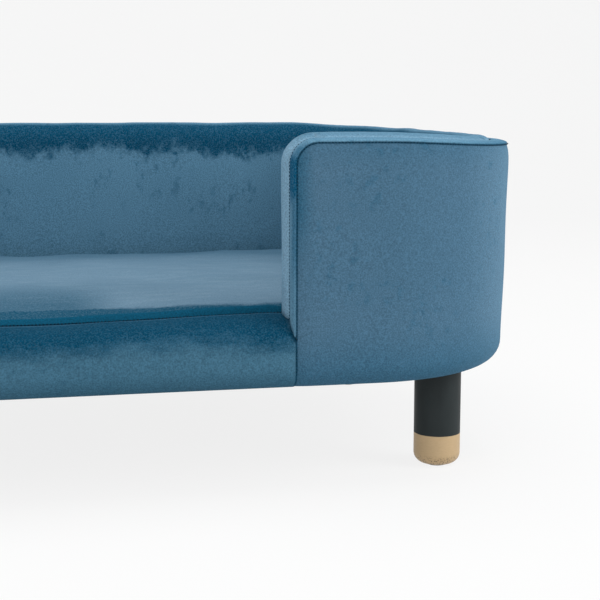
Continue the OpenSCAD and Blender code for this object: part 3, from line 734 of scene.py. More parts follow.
def lining_rise(u, h, rows=slice(None)):
    """Sunk at the second seam, with soft waves that are strongest on the roll."""
    run = np.hypot(u - strip_w, h - strip_rise)
    base = sweep(u, h, None, rows)
    pulled = 0.25 * np.exp(-((run - 6) / 8) ** 2) * puckers(13, ALONG[rows], 5)[:, None]
    soft = (0.25 + 0.5 * np.exp(-((run - 34) / 22) ** 2)) * smooth(0, 8, run)
    return pulled + soft * waves(base, 75, 7)


print("roll", round(float(roll_u.max() - roll_u.min()), 1), "mm wide, wall down to", deck_z, "mm")

# %% [markdown]
# One grid could serve the whole path, but on the entry's sides the inner wall has no room
# and only the roll goes on. So these two parts have grids of their own, which meet the long
# one edge to edge. Two small patches close the lining under the sill's crest.

# %% Lining along the path
entry_rows = DROP_ROWS + BEND_ROWS
top_run = slice(entry_rows - 1, len(O) - entry_rows + 1)
lining_points = sweep(*sunk(wall_u, wall_h), lining_rise(wall_u, wall_h, top_run), top_run)
fan_u = np.concatenate([roll_u, np.full(2, wall_t)])
fan_h = np.concatenate([roll_h, [-(roll_fall + entry_r) / 2, -entry_r]])
seam_run = np.hypot(wall_u - strip_w, wall_h - strip_rise)
grids, seam_runs = [lining_points], [np.broadcast_to(seam_run, lining_points.shape[:2])]
for rows in (slice(0, entry_rows), slice(len(O) - entry_rows, len(O))):
    fan_rise = np.zeros((len(O[rows]), len(fan_u)))
    fan_rise[:, :len(roll_u)] = lining_rise(roll_u, roll_h, rows)
    grids.append(sweep(*sunk(fan_u, fan_h), fan_rise, rows))
    seam_runs.append(np.broadcast_to(np.hypot(fan_u - strip_w, fan_h - strip_rise), grids[-1].shape[:2]))
for side in (1, -1):
    xs = side * np.linspace(entry_x, entry_x + entry_r, 5)[::side]
    zs = np.linspace(sill_crest_z - sill_roll_fall, deck_z, 5)
    grids.append(points_of(xs[:, None], wall_t - half_d, zs))
    seam_runs.append(np.full(grids[-1].shape[:2], 99.0))
lining = add_piece("wall_lining_velvet", grids, "sofa_body", lining_velvet, seam=seam_runs)
write_depth(lining)
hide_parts("lining_wall", "inner_pad", "edge_roll")

# %% [markdown]
# ## Outer covers
# The two wings and the back are separate cloths, held under the base, pulled round its
# bottom edge and sewn to the strip above. A smooth box would have their outline without
# their tightness: a seam draws the cloth in over about 15 mm, and the panel between seams
# bulges. Each cover is a grid of columns from hem to seam, moved along its own normal by
# the distance to its seams, with puckers beside them and slow waves between.

# %% A cover from its columns
SEAM_STEPS = np.array([0, 0.25, 1, 2, 3.2, 4.6, 6.5, 9, 13, 17, 20, 25, 30.0])


def lower_section():
    """Hem, bottom and rounded edge: u inwards and z, from the hem's end to the face's foot."""
    hem = np.linspace(hem_u, edge_r, 5)[:-1]
    angle = np.linspace(np.pi / 2, 0, 10)
    u = np.concatenate([hem, edge_r * (1 - np.cos(angle))])
    z = np.concatenate([np.full(4, under_z), arc_z - edge_r * np.sin(angle)])
    return u, z


def cover(columns, tops, inward, seam_distance, seed):
    """A cover from its columns, the height of each one's top, and its distance to a seam."""
    low_u, low_z = lower_section()
    face = np.concatenate([SEAM_STEPS, np.linspace(30, 100, 13)[1:]])
    height = (tops - arc_z)[:, None]
    steps = np.where(face <= 30, face, 30 + (face - 30) * (height - 30) / 70)
    z_face = (tops[:, None] - steps)[:, ::-1][:, 1:]
    z = np.hstack([np.broadcast_to(low_z, (len(tops), len(low_z))), z_face])
    u = np.hstack([np.broadcast_to(low_u, (len(tops), len(low_u))), np.zeros_like(z_face)])
    points = points_of(columns[:, :1] + u * inward[:, :1], columns[:, 1:] + u * inward[:, 1:], z)
    ways = np.zeros_like(points)
    ways[..., :2] = inward[:, None]
    near = seam_distance(points)
    pull = drawn_in(near)
    on_face = smooth(under_z, arc_z + 8, points[..., 2])
    soft = 0.55 * waves(points, 110, seed) * on_face * smooth(0, 22, near)
    gathers = 0.22 * np.exp(-((near - 5) / 6) ** 2) * np.sin(points @ np.array([0.44, 0.44, 0.30]))
    return settle(points + ways * (pull - soft * 0.9 + gathers)[..., None]), near


print("rows beside a seam at", SEAM_STEPS[:5], "mm and on")

# %% [markdown]
# ## Wings
# A wing starts at the side of the entry, goes round the front corner and ends at the side
# seam. Its top follows the turned corner. Cutting that corner out of a tall panel would
# leave long thin faces, so each column simply ends at the height of the seam above it.

# %% Wing covers


def rounded_corner(turn, side):
    """Points and inward directions on the right-hand corner in front (-1) or behind (1)."""
    out = np.column_stack([np.sin(turn), side * np.cos(turn)])
    return np.array([turn_x, side * turn_y]) + corner_r * out, -out


def wing_columns():
    """Columns of the right wing from the entry, round the corner, to the side seam."""
    dx = np.concatenate([SEAM_STEPS, np.linspace(30, turn_x - entry_x, 7)[1:]])
    lift = np.sqrt(entry_r ** 2 - np.clip(entry_r - dx, 0, None) ** 2)
    arc, arc_ways = rounded_corner(np.linspace(0, np.pi / 2, 31)[1:], -1)
    end = side_seam_y - SEAM_STEPS[::-1]
    side = np.concatenate([np.linspace(-turn_y, end[0], 14)[1:-1], end])
    cols = np.vstack([np.column_stack([entry_x + dx, np.full(len(dx), -half_d)]), arc,
                      np.column_stack([np.full(len(side), half_w), side])])
    tops = np.concatenate([post_top + lift, np.full(len(arc) + len(side), seam_z)])
    ways = np.vstack([np.tile([0.0, 1.0], (len(dx), 1)), arc_ways, np.tile([-1.0, 0.0], (len(side), 1))])
    return cols, tops, ways


def wing_seams(points):
    """Distance to the face seam, to the side of the entry and to the side seam."""
    x, y, z = np.moveaxis(points, -1, 0)
    turned = entry_r - np.hypot(x - entry_x - entry_r, z - post_top)
    in_turn = (x < entry_x + entry_r) & (z > post_top)
    straight = np.minimum(np.where(y < -turn_y, x - entry_x, 1e3), seam_z - z)
    side = np.where(x > turn_x, np.abs(side_seam_y - y), 1e3)
    return np.minimum(np.where(in_turn, turned, straight), side)


columns, tops, ways = wing_columns()
right, near = cover(columns, tops, ways, wing_seams, 11)
mirrored = cover(columns, tops, ways, wing_seams, 12)[0] * np.array([-1.0, 1.0, 1.0])
for name, points, seam, node in (("wing_cover_right", right, near, "cover_wing_right"),
                                 ("wing_cover_left", mirrored[::-1], near[::-1], "cover_wing_left")):
    wing = add_piece(name, [points], "sofa_body", cover_velvet, seam=[seam])
    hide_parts(node)

# %% [markdown]
# ## Back
# One long cloth covers the back from side seam to side seam. The wings' function makes it
# too, from other columns. Its right half is walked and then mirrored, but the waves run on
# across the middle, so that the two halves don't look like copies.

# %% Back cover


def back_columns():
    """Columns of the back cover from the right side seam to the left one."""
    ends = side_seam_y + SEAM_STEPS
    side = np.concatenate([ends, np.linspace(ends[-1], turn_y, 4)[1:-1]])
    arc, arc_ways = rounded_corner(np.linspace(np.pi / 2, 0, 31), 1)
    x = np.linspace(turn_x, 0, 25)[1:]
    cols = np.vstack([np.column_stack([np.full(len(side), half_w), side]), arc,
                      np.column_stack([x, np.full(len(x), half_d)])])
    ways = np.vstack([np.tile([-1.0, 0.0], (len(side), 1)), arc_ways, np.tile([0.0, -1.0], (len(x), 1))])
    flip = np.array([-1, 1])
    return np.vstack([cols, (cols * flip)[-2::-1]]), np.vstack([ways, (ways * flip)[-2::-1]])


def back_seams(points):
    """Distance to the seam along the top and to the two side seams."""
    x, y, z = np.moveaxis(points, -1, 0)
    side = np.where(np.abs(x) > turn_x, np.abs(y - side_seam_y), 1e3)
    return np.minimum(seam_z - z, side)


columns, ways = back_columns()
points, near = cover(columns, np.full(len(columns), seam_z), ways, back_seams, 13)
back = add_piece("back_cover_velvet", [points], "sofa_body", cover_velvet, seam=[near])
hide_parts("cover_back", "outer_pad")

# %% [markdown]
# ## Sill
# The sill is the low front step that the dog climbs over. Its foam sags in the middle and
# its cloth rolls over to a seam behind the crest, where a second cloth goes on down into
# the well. Both could follow the wings' recipe, but a sill has ends: it dives in between
# the wings. It gets a grid of its own, drawn in at both ends and at the seam.

# %% Grid of the sill


def sill_grid(u, z):
    """A run of the sill's section between the wings, drawn in at its ends and at its seam."""
    steps = entry_x - SEAM_STEPS
    x = np.concatenate([-steps, np.linspace(-steps[-1], steps[-1], 49)[1:-1], steps[::-1]])
    nu, nz = normals(u, z)
    flat = points_of(x[:, None], u - half_d, z)
    ends = entry_x - np.abs(x)[:, None]
    over = smooth(spring_z - 10, sill_z, z)
    seam = np.exp(-((u - sill_seam_u) / 2.6) ** 2) * (z > spring_z + 5)
    rise = -drawn_in(ends) + 0.8 * waves(flat * [0.6, 1, 1], 45, 21) * over * smooth(0, 20, ends)
    rise = rise * (1 - seam) * smooth(under_z, arc_z, z)
    points = flat.copy()
    points[..., 1] += nu * rise
    points[..., 2] += nz * rise - 1.2 * seam - sill_sag(x)[:, None] * over
    near = np.minimum(ends, np.hypot(u - sill_seam_u, z - sill_z))
    return points, near


def sill_sag(x):
    """The sill hangs 4 mm lower in the middle of the bed: s cos^2(pi x / 2 w)."""
    return 4.0 * np.cos(np.pi / 2 * np.clip(x / entry_x, -1, 1)) ** 2


print("the sill hangs", sill_sag(0.0), "mm lower in the middle")

# %% [markdown]
# The cover starts like a wing's, with the hem and the round bottom edge. A quarter of a
# circle above that would look turned. A quarter of an ellipse, deeper than it is high, rolls
# over as a stuffed edge does, up to the seam.

# %% Sill cover
low_u, low_z = lower_section()
front_z = np.linspace(arc_z, spring_z, 4)[1:]
turn = np.linspace(0, np.pi / 2, 25)[1:]
u = np.concatenate([low_u, 0 * front_z, sill_seam_u * (1 - np.cos(turn))])
z = np.concatenate([low_z, front_z, spring_z + sill_drop * np.sin(turn)])
points, near = sill_grid(u, z)
sill = add_piece("sill_cover_velvet", [points], "sofa_body", sill_velvet, seam=[near])
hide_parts("cover_sill", "sill_pad")

# %% [markdown]
# The second cloth takes over at the seam, rolls over the crest and drops to the deck. It
# could be one surface with the cover, but a seam shows because two edges meet in a groove.
# So it starts anew at the same point of the section.

# %% Sill lining
u = np.concatenate([np.linspace(sill_seam_u, sill_crest_u, 9),
                    sill_crest_u + (wall_t - sill_crest_u) * np.sin(np.linspace(0, np.pi / 2, 9)[1:]),
                    np.full(6, wall_t)])
z = np.concatenate([sill_top(u[:17]), np.linspace(sill_crest_z - sill_roll_fall, deck_z, 7)[1:]])
points, near = sill_grid(u, z)
sill_lining = add_piece("sill_lining_velvet", [points], "sofa_body",
                        sill_lining_velvet, seam=[near])
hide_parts("lining_sill")

# %% [markdown]
# ## Cushion
# The seat cushion lies loose in the well: a flat underside, an upright boxing, a soft
# rounding along the rim and a crowned top. Full corners and slack sides tell the eye that
# it is stuffed. A box with rounded edges would have neither, so rings of points are laid
# from the underside to the middle of the top. The sides draw in between the corners by
# d (1 - |s|^p), where s runs from -1 to 1 along a side.

# %% Outline of the cushion
box_high = box("cushion_boxing")[1]
base_low, base_high = box("cushion_base")
top_high = box("cushion_top")[1][2]
cushion_x, cushion_y = box_high[0], box_high[1]
cushion_r, draw_in, rim_w, rim_h = 108.0, 5.0, 24.0, 14.0


def drawn(s):
    """How far a side is drawn in at the share s of its straight length."""
    return draw_in * (1 - np.abs(s) ** 2.5)


def cushion_outline(inset):
    """Plan of the cushion, inset from its edge, counter-clockwise from its front right corner."""
    angle = np.linspace(0, np.pi / 2, 19)
    long_s, short_s = np.linspace(-1, 1, 31)[1:-1], np.linspace(-1, 1, 15)[1:-1]
    parts = []
    for k, (sx, sy) in enumerate(((1, -1), (1, 1), (-1, 1), (-1, -1))):
        turned = angle + (k - 1) * np.pi / 2
        parts.append(np.column_stack([sx * turn_x + (cushion_r - inset) * np.cos(turned),
                                      sy * turn_y + (cushion_r - inset) * np.sin(turned)]))
        s = long_s if k % 2 else short_s
        away = (cushion_y if k % 2 else cushion_x) - drawn(s) - inset
        parts.append([np.column_stack([away, s * turn_y]), np.column_stack([-s * turn_x, away]),
                      np.column_stack([-away, -s * turn_y]), np.column_stack([s * turn_x, -away])][k])
    return np.vstack(parts)


def ring(inset, z):
    """One closed ring of the cushion at a height; past the corner radius it shrinks to the middle."""
    limit = cushion_r - 18
    plan = cushion_outline(min(inset, limit))
    if inset > limit:
        plan = plan * (1 - (inset - limit) / (cushion_y - limit))
    return np.column_stack([plan, np.full(len(plan), z)])


print("cushion", 2 * cushion_x, "by", 2 * cushion_y, "mm")

# %% [markdown]
# The rings climb the boxing, turn over the rim and close at the middle of the crown. A
# smooth crown would look moulded, so waves make it uneven, and its front edge is pressed
# down where the dog steps in.

# %% Cushion from its rings
rim_z = box_high[2] + rim_h
levels = [(14.0, base_low[2] + 0.6), (5.0, base_low[2] + 0.6), (1.2, base_low[2] + 1.8)]
levels += [(0.4, zz) for zz in np.linspace(base_low[2] + 5, box_high[2] - 3, 8)]
levels += [(1.6, box_high[2]), (1.0, box_high[2] + 1.6)]
for angle in np.linspace(0.18, np.pi / 2, 9):
    levels.append((rim_w * (1 - np.cos(angle)), box_high[2] + rim_h * np.sin(angle)))
for share in np.linspace(0, 1, 26)[1:-1]:
    crown = (top_high - rim_z) * (1 - (1 - share) ** 2.4)
    levels.append((rim_w + (cushion_y - rim_w) * share, rim_z + crown))
rings = np.array([ring(inset, zz) for inset, zz in levels])
middle = np.zeros_like(rings[:1])
middle[..., 2] = top_high
under = np.zeros_like(middle)
under[..., 2] = base_low[2] + 0.6
rings = np.concatenate([under, rings, middle])
on_top = smooth(box_high[2], rim_z, rings[..., 2])
rings[..., 2] += on_top * 0.9 * waves(rings * [0.7, 1, 0], 80, 31)
front_soft = on_top * np.exp(-((rings[..., 0] + 20) / 150) ** 2) * smooth(-130, -215, rings[..., 1])
rings[..., 2] -= 7.0 * front_soft
cushion = add_piece("seat_cushion_velvet", [(rings.transpose(1, 0, 2), True)],
                    "cushion", cushion_velvet, skin=0)
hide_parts("cushion_core", "cushion_top", "cushion_boxing")

# %% [markdown]
# ## Stitches
# Every seam is sewn with dark thread, about 3 mm from stitch to stitch. A dashed line in
# the velvet's material could stand for it, but thread lies on the cloth and throws a small
# shadow. So each stitch is a capsule laid along its seam. All stitches of a seam are made at
# once in one mesh, because thousands of objects would be slow. The sill's thread is thicker.

# %% Rows of capsules


def capsules(starts, ends, radius, body_name, name, material, slot):
    """One mesh of five-sided capsules, from the two ends of each."""
    share = np.array([0.0, 0.16, 0.84, 1.0])
    width = radius * np.array([0.2, 1.0, 1.0, 0.2])
    along = ends - starts
    unit = along / np.linalg.norm(along, axis=1)[:, None]
    side = np.cross(unit, [0.31, 0.17, 0.94])
    side /= np.linalg.norm(side, axis=1)[:, None]
    angle = np.arange(5) * 2 * np.pi / 5
    circle = (np.cos(angle)[:, None] * side[:, None] + np.sin(angle)[:, None] * np.cross(unit, side)[:, None])
    spine = starts[:, None] + share[:, None] * along[:, None]
    points = spine[:, :, None] + width[:, None, None] * circle[:, None]
    r, c = np.meshgrid(np.arange(3), np.arange(5), indexing="ij")
    n = (c + 1) % 5
    quads = np.stack([r * 5 + c, r * 5 + n, r * 5 + 5 + n, r * 5 + 5 + c], axis=-1).reshape(-1, 4)
    caps = np.array([[4, 3, 2, 1, 0], [15, 16, 17, 18, 19]])
    shift = 20 * np.arange(len(starts))[:, None, None]
    faces = (quads + shift).reshape(-1, 4).tolist() + (caps + shift).reshape(-1, 5).tolist()
    piece = new_object(name, points, faces, material)
    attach(piece, body_name)
    print(name, len(starts), "pieces")
    return piece


def sewn(line, pitch, fill):
    """Ends of the stitches along a line of points, one every pitch, each fill of it long."""
    run = np.concatenate([[0], np.cumsum(np.linalg.norm(np.diff(line, axis=0), axis=1))])
    start = np.arange(0, run[-1] - pitch, pitch)
    return [np.column_stack([np.interp(at, run, line[:, k]) for k in range(3)])
            for at in (start, start + fill * pitch)]


print("a row 30 mm long has", len(sewn(np.array([[0.0, 0, 0], [30, 0, 0]]), 3.0, 0.62)[0]), "stitches")

# %% [markdown]
# ## Thread along the seams
# The sill's seam follows its sag. The face seam and the second one are carried along the
# path like the strip, and go on down the entry's sides. The side seams run straight down,
# except that they settle with the wall. Each thread lies just proud of the cloth.

# %% Thread along the seams


def thread():
    """Twisted polyester thread, dark blue, a little shinier than the pile round it. The twist is
    drawn 0.6 mm long, so that it breaks the line of colour."""
    net = Net("sewing_thread")
    twist = mottle(net, 0.0006, 1)
    tone = net.add("Mix", twist, A_Color=linear("#011e2e"), B_Color=linear("#053046"), **COLOURS)
    ridges = net.add("Bump", Strength=1.0, Distance=0.00008, Height=twist)
    return net.finish(Base_Color=tone, Roughness=0.7, Normal=ridges, Specular_IOR_Level=0.08)


thread_material = thread()
x = np.linspace(-entry_x + 2, entry_x - 2, 120)
seam_line = points_of(x, sill_seam_u - half_d, sill_z - 0.75 - sill_sag(x))
ends = sewn(seam_line, 3.2, 0.6)
capsules(*ends, 0.85, "sofa_body", "sill_stitches", thread_material, "velvet_lining")

face_line = sweep(np.array([1.5, 2.0]), np.array([0.0, 0.0]))[:, 0]
second_line = sweep(strip_w + np.array([0.6, 1.6]), strip_rise + np.array([0.55, 0.55]))[:, 0]
down = np.linspace(sill_top(0), under_z + edge_r, 8)
angle = np.linspace(0, np.pi / 2, 8)[1:]
foot_y = np.concatenate([np.full(8, 1.7), 1.7 + edge_r * (1 - np.cos(angle))]) - half_d
foot_z = np.concatenate([down, arc_z - (edge_r - 1.7) * np.sin(angle)])
lines = [face_line, second_line] + [points_of(side * entry_x, foot_y, foot_z) for side in (1, -1)]
side_z = np.linspace(seam_z - 2, arc_z, 30)
lines += [settle(points_of(side * (half_w - 1.7), side_seam_y, side_z)) for side in (1, -1)]
starts, stops = (np.vstack(part) for part in zip(*(sewn(line, 3.0, 0.62) for line in lines)))
capsules(starts, stops, 0.40, "sofa_body", "edge_seam_stitches", thread_material, "velvet_cover")

# %% [markdown]
# ## Staples and zip teeth
# The dust cover is stapled to the base every 45 mm, and the cushion's zip is a coil of
# nylon loops. Both are rows of the same small thing, so the function for stitches lays
# them too. A staple is a straight capsule, as its legs are in the wood. The coil is drawn
# coarser than it is, as upright teeth 1.5 mm apart, since its loops would not show.

# %% Staples and zip teeth
staple_inset, staple_pitch, staple_length = 47.0, 45.0, 10.0
turned = np.linspace(0, np.pi / 2, 12)
quarter = [turn_x, turn_y] + (corner_r - staple_inset) * np.column_stack([np.cos(turned), np.sin(turned)])
plan = np.vstack([quarter, (quarter * [-1, 1])[::-1], quarter * [-1, -1], (quarter * [1, -1])[::-1],
                  quarter[:1]])
staples = sewn(points_of(plan[:, 0], plan[:, 1], under_z - 0.6), staple_pitch, staple_length / staple_pitch)

zip_low, zip_high = box("zip_coil")
tooth_x = np.arange(zip_low[0] + 0.75, zip_high[0], 1.5)
tooth_y = (zip_low[1] + zip_high[1]) / 2
teeth = (points_of(tooth_x, tooth_y, zip_low[2] + 0.3), points_of(tooth_x, tooth_y, zip_high[2] - 0.3))
print(len(staples[0]), "staples,", len(tooth_x), "teeth")

# %% [markdown]
# ## Wood
# The base and the bent wall board are birch plywood, the posts, the rail and the cleats
# planed pine. They could be modelled ply by ply. Only their edges and grain would ever
# show, when a cover is off, so the rigid solids keep their shape and nodes draw the rest:
# long grain, growth lines, and glue lines 3 mm apart on a cut edge.

# %% Plywood and pine


def plywood():
    """Birch plywood: pale veneer with long grain, thin dark glue lines seen on an edge."""
    net = Net("birch_plywood")
    grain = mottle(net, 0.006, 5, (14, 1, 1))
    height = net.add("SeparateXYZ", net.place, out=2)
    plies = net.add("Math", net.add("Math", height, 2 * np.pi / 0.003, **TIMES), operation="SINE")
    tilt = net.add("Math", net.add("SeparateXYZ", net.normal, out=2), **UNSIGNED)
    glue = net.add("Math", net.add("MapRange", plies, 0.6, 0.95, **SMOOTH),
                   net.add("MapRange", tilt, 0.5, 0.2, **SMOOTH), **TIMES)
    tone = net.add("Mix", net.add("MapRange", grain, 0.35, 0.65, **SMOOTH),
                   A_Color=linear("#d3b283"), B_Color=linear("#b58f5e"), **COLOURS)
    tone = net.add("Mix", glue, A_Color=tone, B_Color=linear("#8a6238"), **COLOURS)
    fibres = net.add("Bump", Strength=1.0, Distance=0.0002, Height=grain)
    return net.finish(Base_Color=tone, Roughness=0.62, Normal=fibres, Specular_IOR_Level=0.3)


def pine():
    """Planed pine with growth lines along X: the sine of a stretched noise."""
    net = Net("planed_pine")
    grain = mottle(net, 0.009, 4, (12, 1, 1))
    lines = net.add("Math", net.add("Math", grain, 42.0, **TIMES), operation="SINE")
    tone = net.add("Mix", net.add("MapRange", lines, -0.2, 1.0, **SMOOTH),
                   A_Color=linear("#e2c491"), B_Color=linear("#bb8d55"), **COLOURS)
    ridges = net.add("Bump", Strength=1.0, Distance=0.0001, Height=lines)
    return net.finish(Base_Color=tone, Roughness=0.6, Normal=ridges, Specular_IOR_Level=0.3)


kept = {"board": plywood(), "pine": pine()}
print("woods:", list(kept))

# %% [markdown]
# ## Legs and tips
# Each leg is turned beech under black satin lacquer, with a drawn brass cup at its foot,
# anodised a matt champagne gold. Dark speckles grow on the lowest 15 mm of the cup, where it
# meets the floor. They could be a second shape. They are too thin to be one, so they are a
# dark tone in the colour.

# %% Lacquer and champagne gold


def lacquer():
    """Black satin lacquer on turned beech, a little uneven, with fine dust marks."""
    net = Net("black_satin_lacquer")
    cloud = mottle(net, 0.018, 4, (1, 1, 2.5))
    fleck = net.add("MapRange", mottle(net, 0.0013, 2), 0.70, 0.80, 0.0, 0.25, **SMOOTH)
    tone = net.add("Mix", cloud, A_Color=linear("#24292a"), B_Color=linear("#343a3b"), **COLOURS)
    tone = net.add("Mix", fleck, A_Color=tone, B_Color=linear("#5a6264"), **COLOURS)
    gloss = net.add("MapRange", cloud, 0.2, 0.8, 0.42, 0.56, **SMOOTH)
    skin = net.add("Bump", Strength=1.0, Distance=0.0002, Height=cloud)
    return net.finish(Base_Color=tone, Roughness=gloss, Normal=skin, Specular_IOR_Level=0.12)


def champagne():
    """Matt champagne-gold cup, brushed upwards, with dark speckles towards its lower edge."""
    net = Net("matt_champagne_gold")
    height = net.add("SeparateXYZ", net.place, out=2)
    brushed = mottle(net, 0.004, 3, (1, 1, 0.12))
    low_speckles = net.add("Math", net.add("MapRange", mottle(net, 0.0016, 4), 0.50, 0.62, **SMOOTH),
                   net.add("MapRange", height, 0.015, 0.003, **SMOOTH), **TIMES)
    tone = net.add("Mix", brushed, A_Color=linear("#cfb48d"), B_Color=linear("#bb9f78"), **COLOURS)
    tone = net.add("Mix", low_speckles, A_Color=tone, B_Color=linear("#3a3026"), **COLOURS)
    lines = net.add("Bump", Strength=1.0, Distance=0.00008, Height=brushed)
    return net.finish(Base_Color=tone, Roughness=0.46, Normal=lines, Metallic=0.25, Specular_IOR_Level=0.4)


kept.update(leg_lacquer=lacquer(), tip_metal=champagne())
print("legs and tips:", list(kept)[-2:])

# %% [markdown]
# ## Cloths, plastic and steel
# The dust cover and the deck cloth are spunbond: fibres pressed together at points in a
# grid. The cushion's underside carries rubber dots against slipping, and the zip's tape is
# woven. Each dot or thread could be a mesh. There would be tens of thousands, so two sines
# make the grid. Nylon, zinc-plated steel and foam share one plain recipe with a fine grain.

# %% Cloths, plastic and steel


def cloth(name, light, dark, pitch_m, dots=None):
    """Spunbond or woven cloth: points in a grid, pressed or in a colour of their own, on fibres.
    A point is where sin(2 pi (x + z) / p) sin(2 pi y / p) is high."""
    net = Net(name)
    x, y, z = net.add("SeparateXYZ", net.place, out=ALL)
    turns = 2 * np.pi / pitch_m
    rows = net.add("Math", net.add("Math", net.add("Math", x, z), turns, **TIMES), operation="SINE")
    columns = net.add("Math", net.add("Math", y, turns, **TIMES), operation="SINE")
    points = net.add("MapRange", net.add("Math", rows, columns, **TIMES), 0.3, 0.8, **SMOOTH)
    tone = net.add("Mix", mottle(net, 0.0012, 4), A_Color=linear(light), B_Color=linear(dark), **COLOURS)
    tone = net.add("Mix", net.add("Math", points, 0.6, **TIMES), A_Color=tone,
                   B_Color=linear(dots or dark), **COLOURS)
    pressed = net.add("Bump", Strength=1.0, Distance=0.0002, Height=points)
    return net.finish(Base_Color=tone, Roughness=0.9, Normal=pressed, Specular_IOR_Level=0.15)


def plain(name, light, dark, rough, metal=0.0, grain_m=0.002, depth=0.00006):
    """A material with a fine grain in colour, roughness and bump."""
    net = Net(name)
    grain = mottle(net, grain_m, 3)
    tone = net.add("Mix", grain, A_Color=linear(light), B_Color=linear(dark), **COLOURS)
    gloss = net.add("MapRange", grain, 0.2, 0.8, rough - 0.06, rough + 0.06, **SMOOTH)
    skin = net.add("Bump", Strength=1.0, Distance=depth, Height=grain)
    return net.finish(Base_Color=tone, Roughness=gloss, Normal=skin, Metallic=metal)


kept.update(
    # Moulded nylon: nearly black, with a satin skin
    glide=plain("glide_nylon", "#2b2b2b", "#1c1c1c", 0.5),
    # Zinc plating: pale grey and smooth enough to show what is round it
    steel=plain("zinc_plated_steel", "#b9bdc0", "#94999d", 0.32, 1.0),
    # Spunbond: matt and dark, with a fine grid of pressed points
    deck_cloth=cloth("deck_spunbond", "#39424a", "#1d2328", 0.0016),
    dust_cloth=cloth("dust_cover_spunbond", "#26282b", "#101113", 0.0016),
    # Non-slip cloth: dark grey, with rows of pale rubber dots
    cushion_underside=cloth("non_slip_cloth", "#303940", "#252c32", 0.008, "#aab0b3"),
    # Woven tape: two blues, in a weave drawn 0.9 mm wide
    zip_cloth=cloth("zip_tape_weave", "#2b5468", "#17384a", 0.0009),
    # Drawn nylon: a little glossier than the tape
    zip_plastic=plain("zip_coil_nylon", "#24495c", "#16323f", 0.4),
    # Open-cell foam: pale yellow, matt and full of small pores
    foam=plain("open_cell_foam", "#e6dcb4", "#cfc294", 0.95, 0.0, 0.0012, 0.0003))
print("materials of kept pieces:", len(kept))

# %% [markdown]
# ## Flat cloths
# The deck cloth, the dust cover and the cushion's underside are sheets, stretched between
# the lines that hold them. The zip's tape is a woven strip. A cloth simulation would pull
# them flat in the end, so they start flat here: rings from the held rim to the middle,
# which sag a little and ripple less the nearer they come to the rim.

# %% Flat cloths


def rounded_plan(reach):
    """A rounded rectangle round the four corner centres, counter-clockwise, 160 even points."""
    angle = np.linspace(0, np.pi / 2, 25) + np.pi / 2 * np.arange(4)[:, None]
    centre = np.array([[1, 1], [-1, 1], [-1, -1], [1, -1]]) * [turn_x, turn_y]
    plan = (centre[:, None] + reach * np.stack([np.cos(angle), np.sin(angle)], axis=-1)).reshape(-1, 2)
    plan = np.vstack([plan, plan[:1]])
    run = np.concatenate([[0], np.cumsum(np.linalg.norm(np.diff(plan, axis=0), axis=1))])
    at = np.linspace(0, run[-1], 161)[:-1]
    return np.column_stack([np.interp(at, run, plan[:, k]) for k in range(2)])


def flat_cloth(name, outline, top, thick, sag, ripple, body, node, slot):
    """A sheet inside an outline: it sags by s (1 - r^2) and ripples, less towards its held rim."""
    share = np.linspace(1, 0, 21)[:, None]
    points = points_of(outline[:, 0] * share, outline[:, 1] * share, top)
    points[..., 2] -= sag * (1 - share ** 2)
    points[..., 2] += ripple * (1 - share ** 6) * waves(points * [1, 1, 0], 70, 41) / 3
    piece = add_piece(name, [(points.transpose(1, 0, 2), True)], body, kept[slot], skin=thick)
    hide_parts(node)


print("plan of a sheet:", len(rounded_plan(corner_r)), "points")

# %% [markdown]
# The three sheets and the tape follow. They could share a size, but each is cut to what it
# is stretched on.

# %% Sheets and tape
deck_high, dust_high = box("deck_cloth")[1], box("dust_cover")[1]
flat_cloth("deck_sheet", rounded_plan(deck_high[0] - turn_x), deck_high[2], 0.8, 0.0, 0.1,
           "sofa_body", "deck_cloth", "deck_cloth")
flat_cloth("dust_sheet", rounded_plan(dust_high[0] - turn_x), dust_high[2], 0.6, 1.6, 0.5,
           "sofa_body", "dust_cover", "dust_cloth")
flat_cloth("underside_sheet", cushion_outline(cushion_x - base_high[0]), base_low[2] + 0.8, 0.8, 0.0, 0.0,
           "cushion", "cushion_base", "cushion_underside")

tape_low, tape_high = box("zip_tape")
x = np.linspace(tape_low[0], tape_high[0], 141)
tape_points = points_of(x, tape_high[1], np.linspace(tape_low[2], tape_high[2], 9)[:, None])
tape_points[..., 1] -= 0.12 * (0.5 + waves(tape_points, 18, 43) / 6)
tape = add_piece("zip_tape_strip", [tape_points], "cushion", kept["zip_cloth"], skin=0.7)
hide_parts("zip_tape")

# %% [markdown]
# ## Last pieces
# The staples and the teeth need materials that were made after their places were known.
# The rigid nodes could be modelled again too. Their solids are already right, so only the
# material in their slots is changed, by the slot's name in the record.

# %% Staples, teeth and kept nodes
capsules(*staples, 0.5, "sofa_body", "dust_cover_staples", kept["steel"], "steel")
tooth_piece = capsules(*teeth, 0.68, "cushion", "zip_coil_teeth", kept["zip_plastic"], "zip_plastic")
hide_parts("zip_coil")
slot_of = {part["node"]: part["material_slot"] for part in frame["record"]["subparts"]}
for node, kept_object in frame["nodes"].items():
    if slot_of[node] in kept:
        for slot in kept_object.material_slots:
            slot.material = kept[slot_of[node]]
print("kept materials on", len(frame["nodes"]), "nodes")

# %% [markdown]
# ## Camera
# The view repeats the photograph, so that the two can be laid over each other. It could be
# found by eye. It was solved instead from straight lines and known lengths on the bed, and
# each number below is a result: the eye's height, its distance, two turns and a focal
# length of 1300 px in 600, which is 78 mm on a film 36 mm wide.

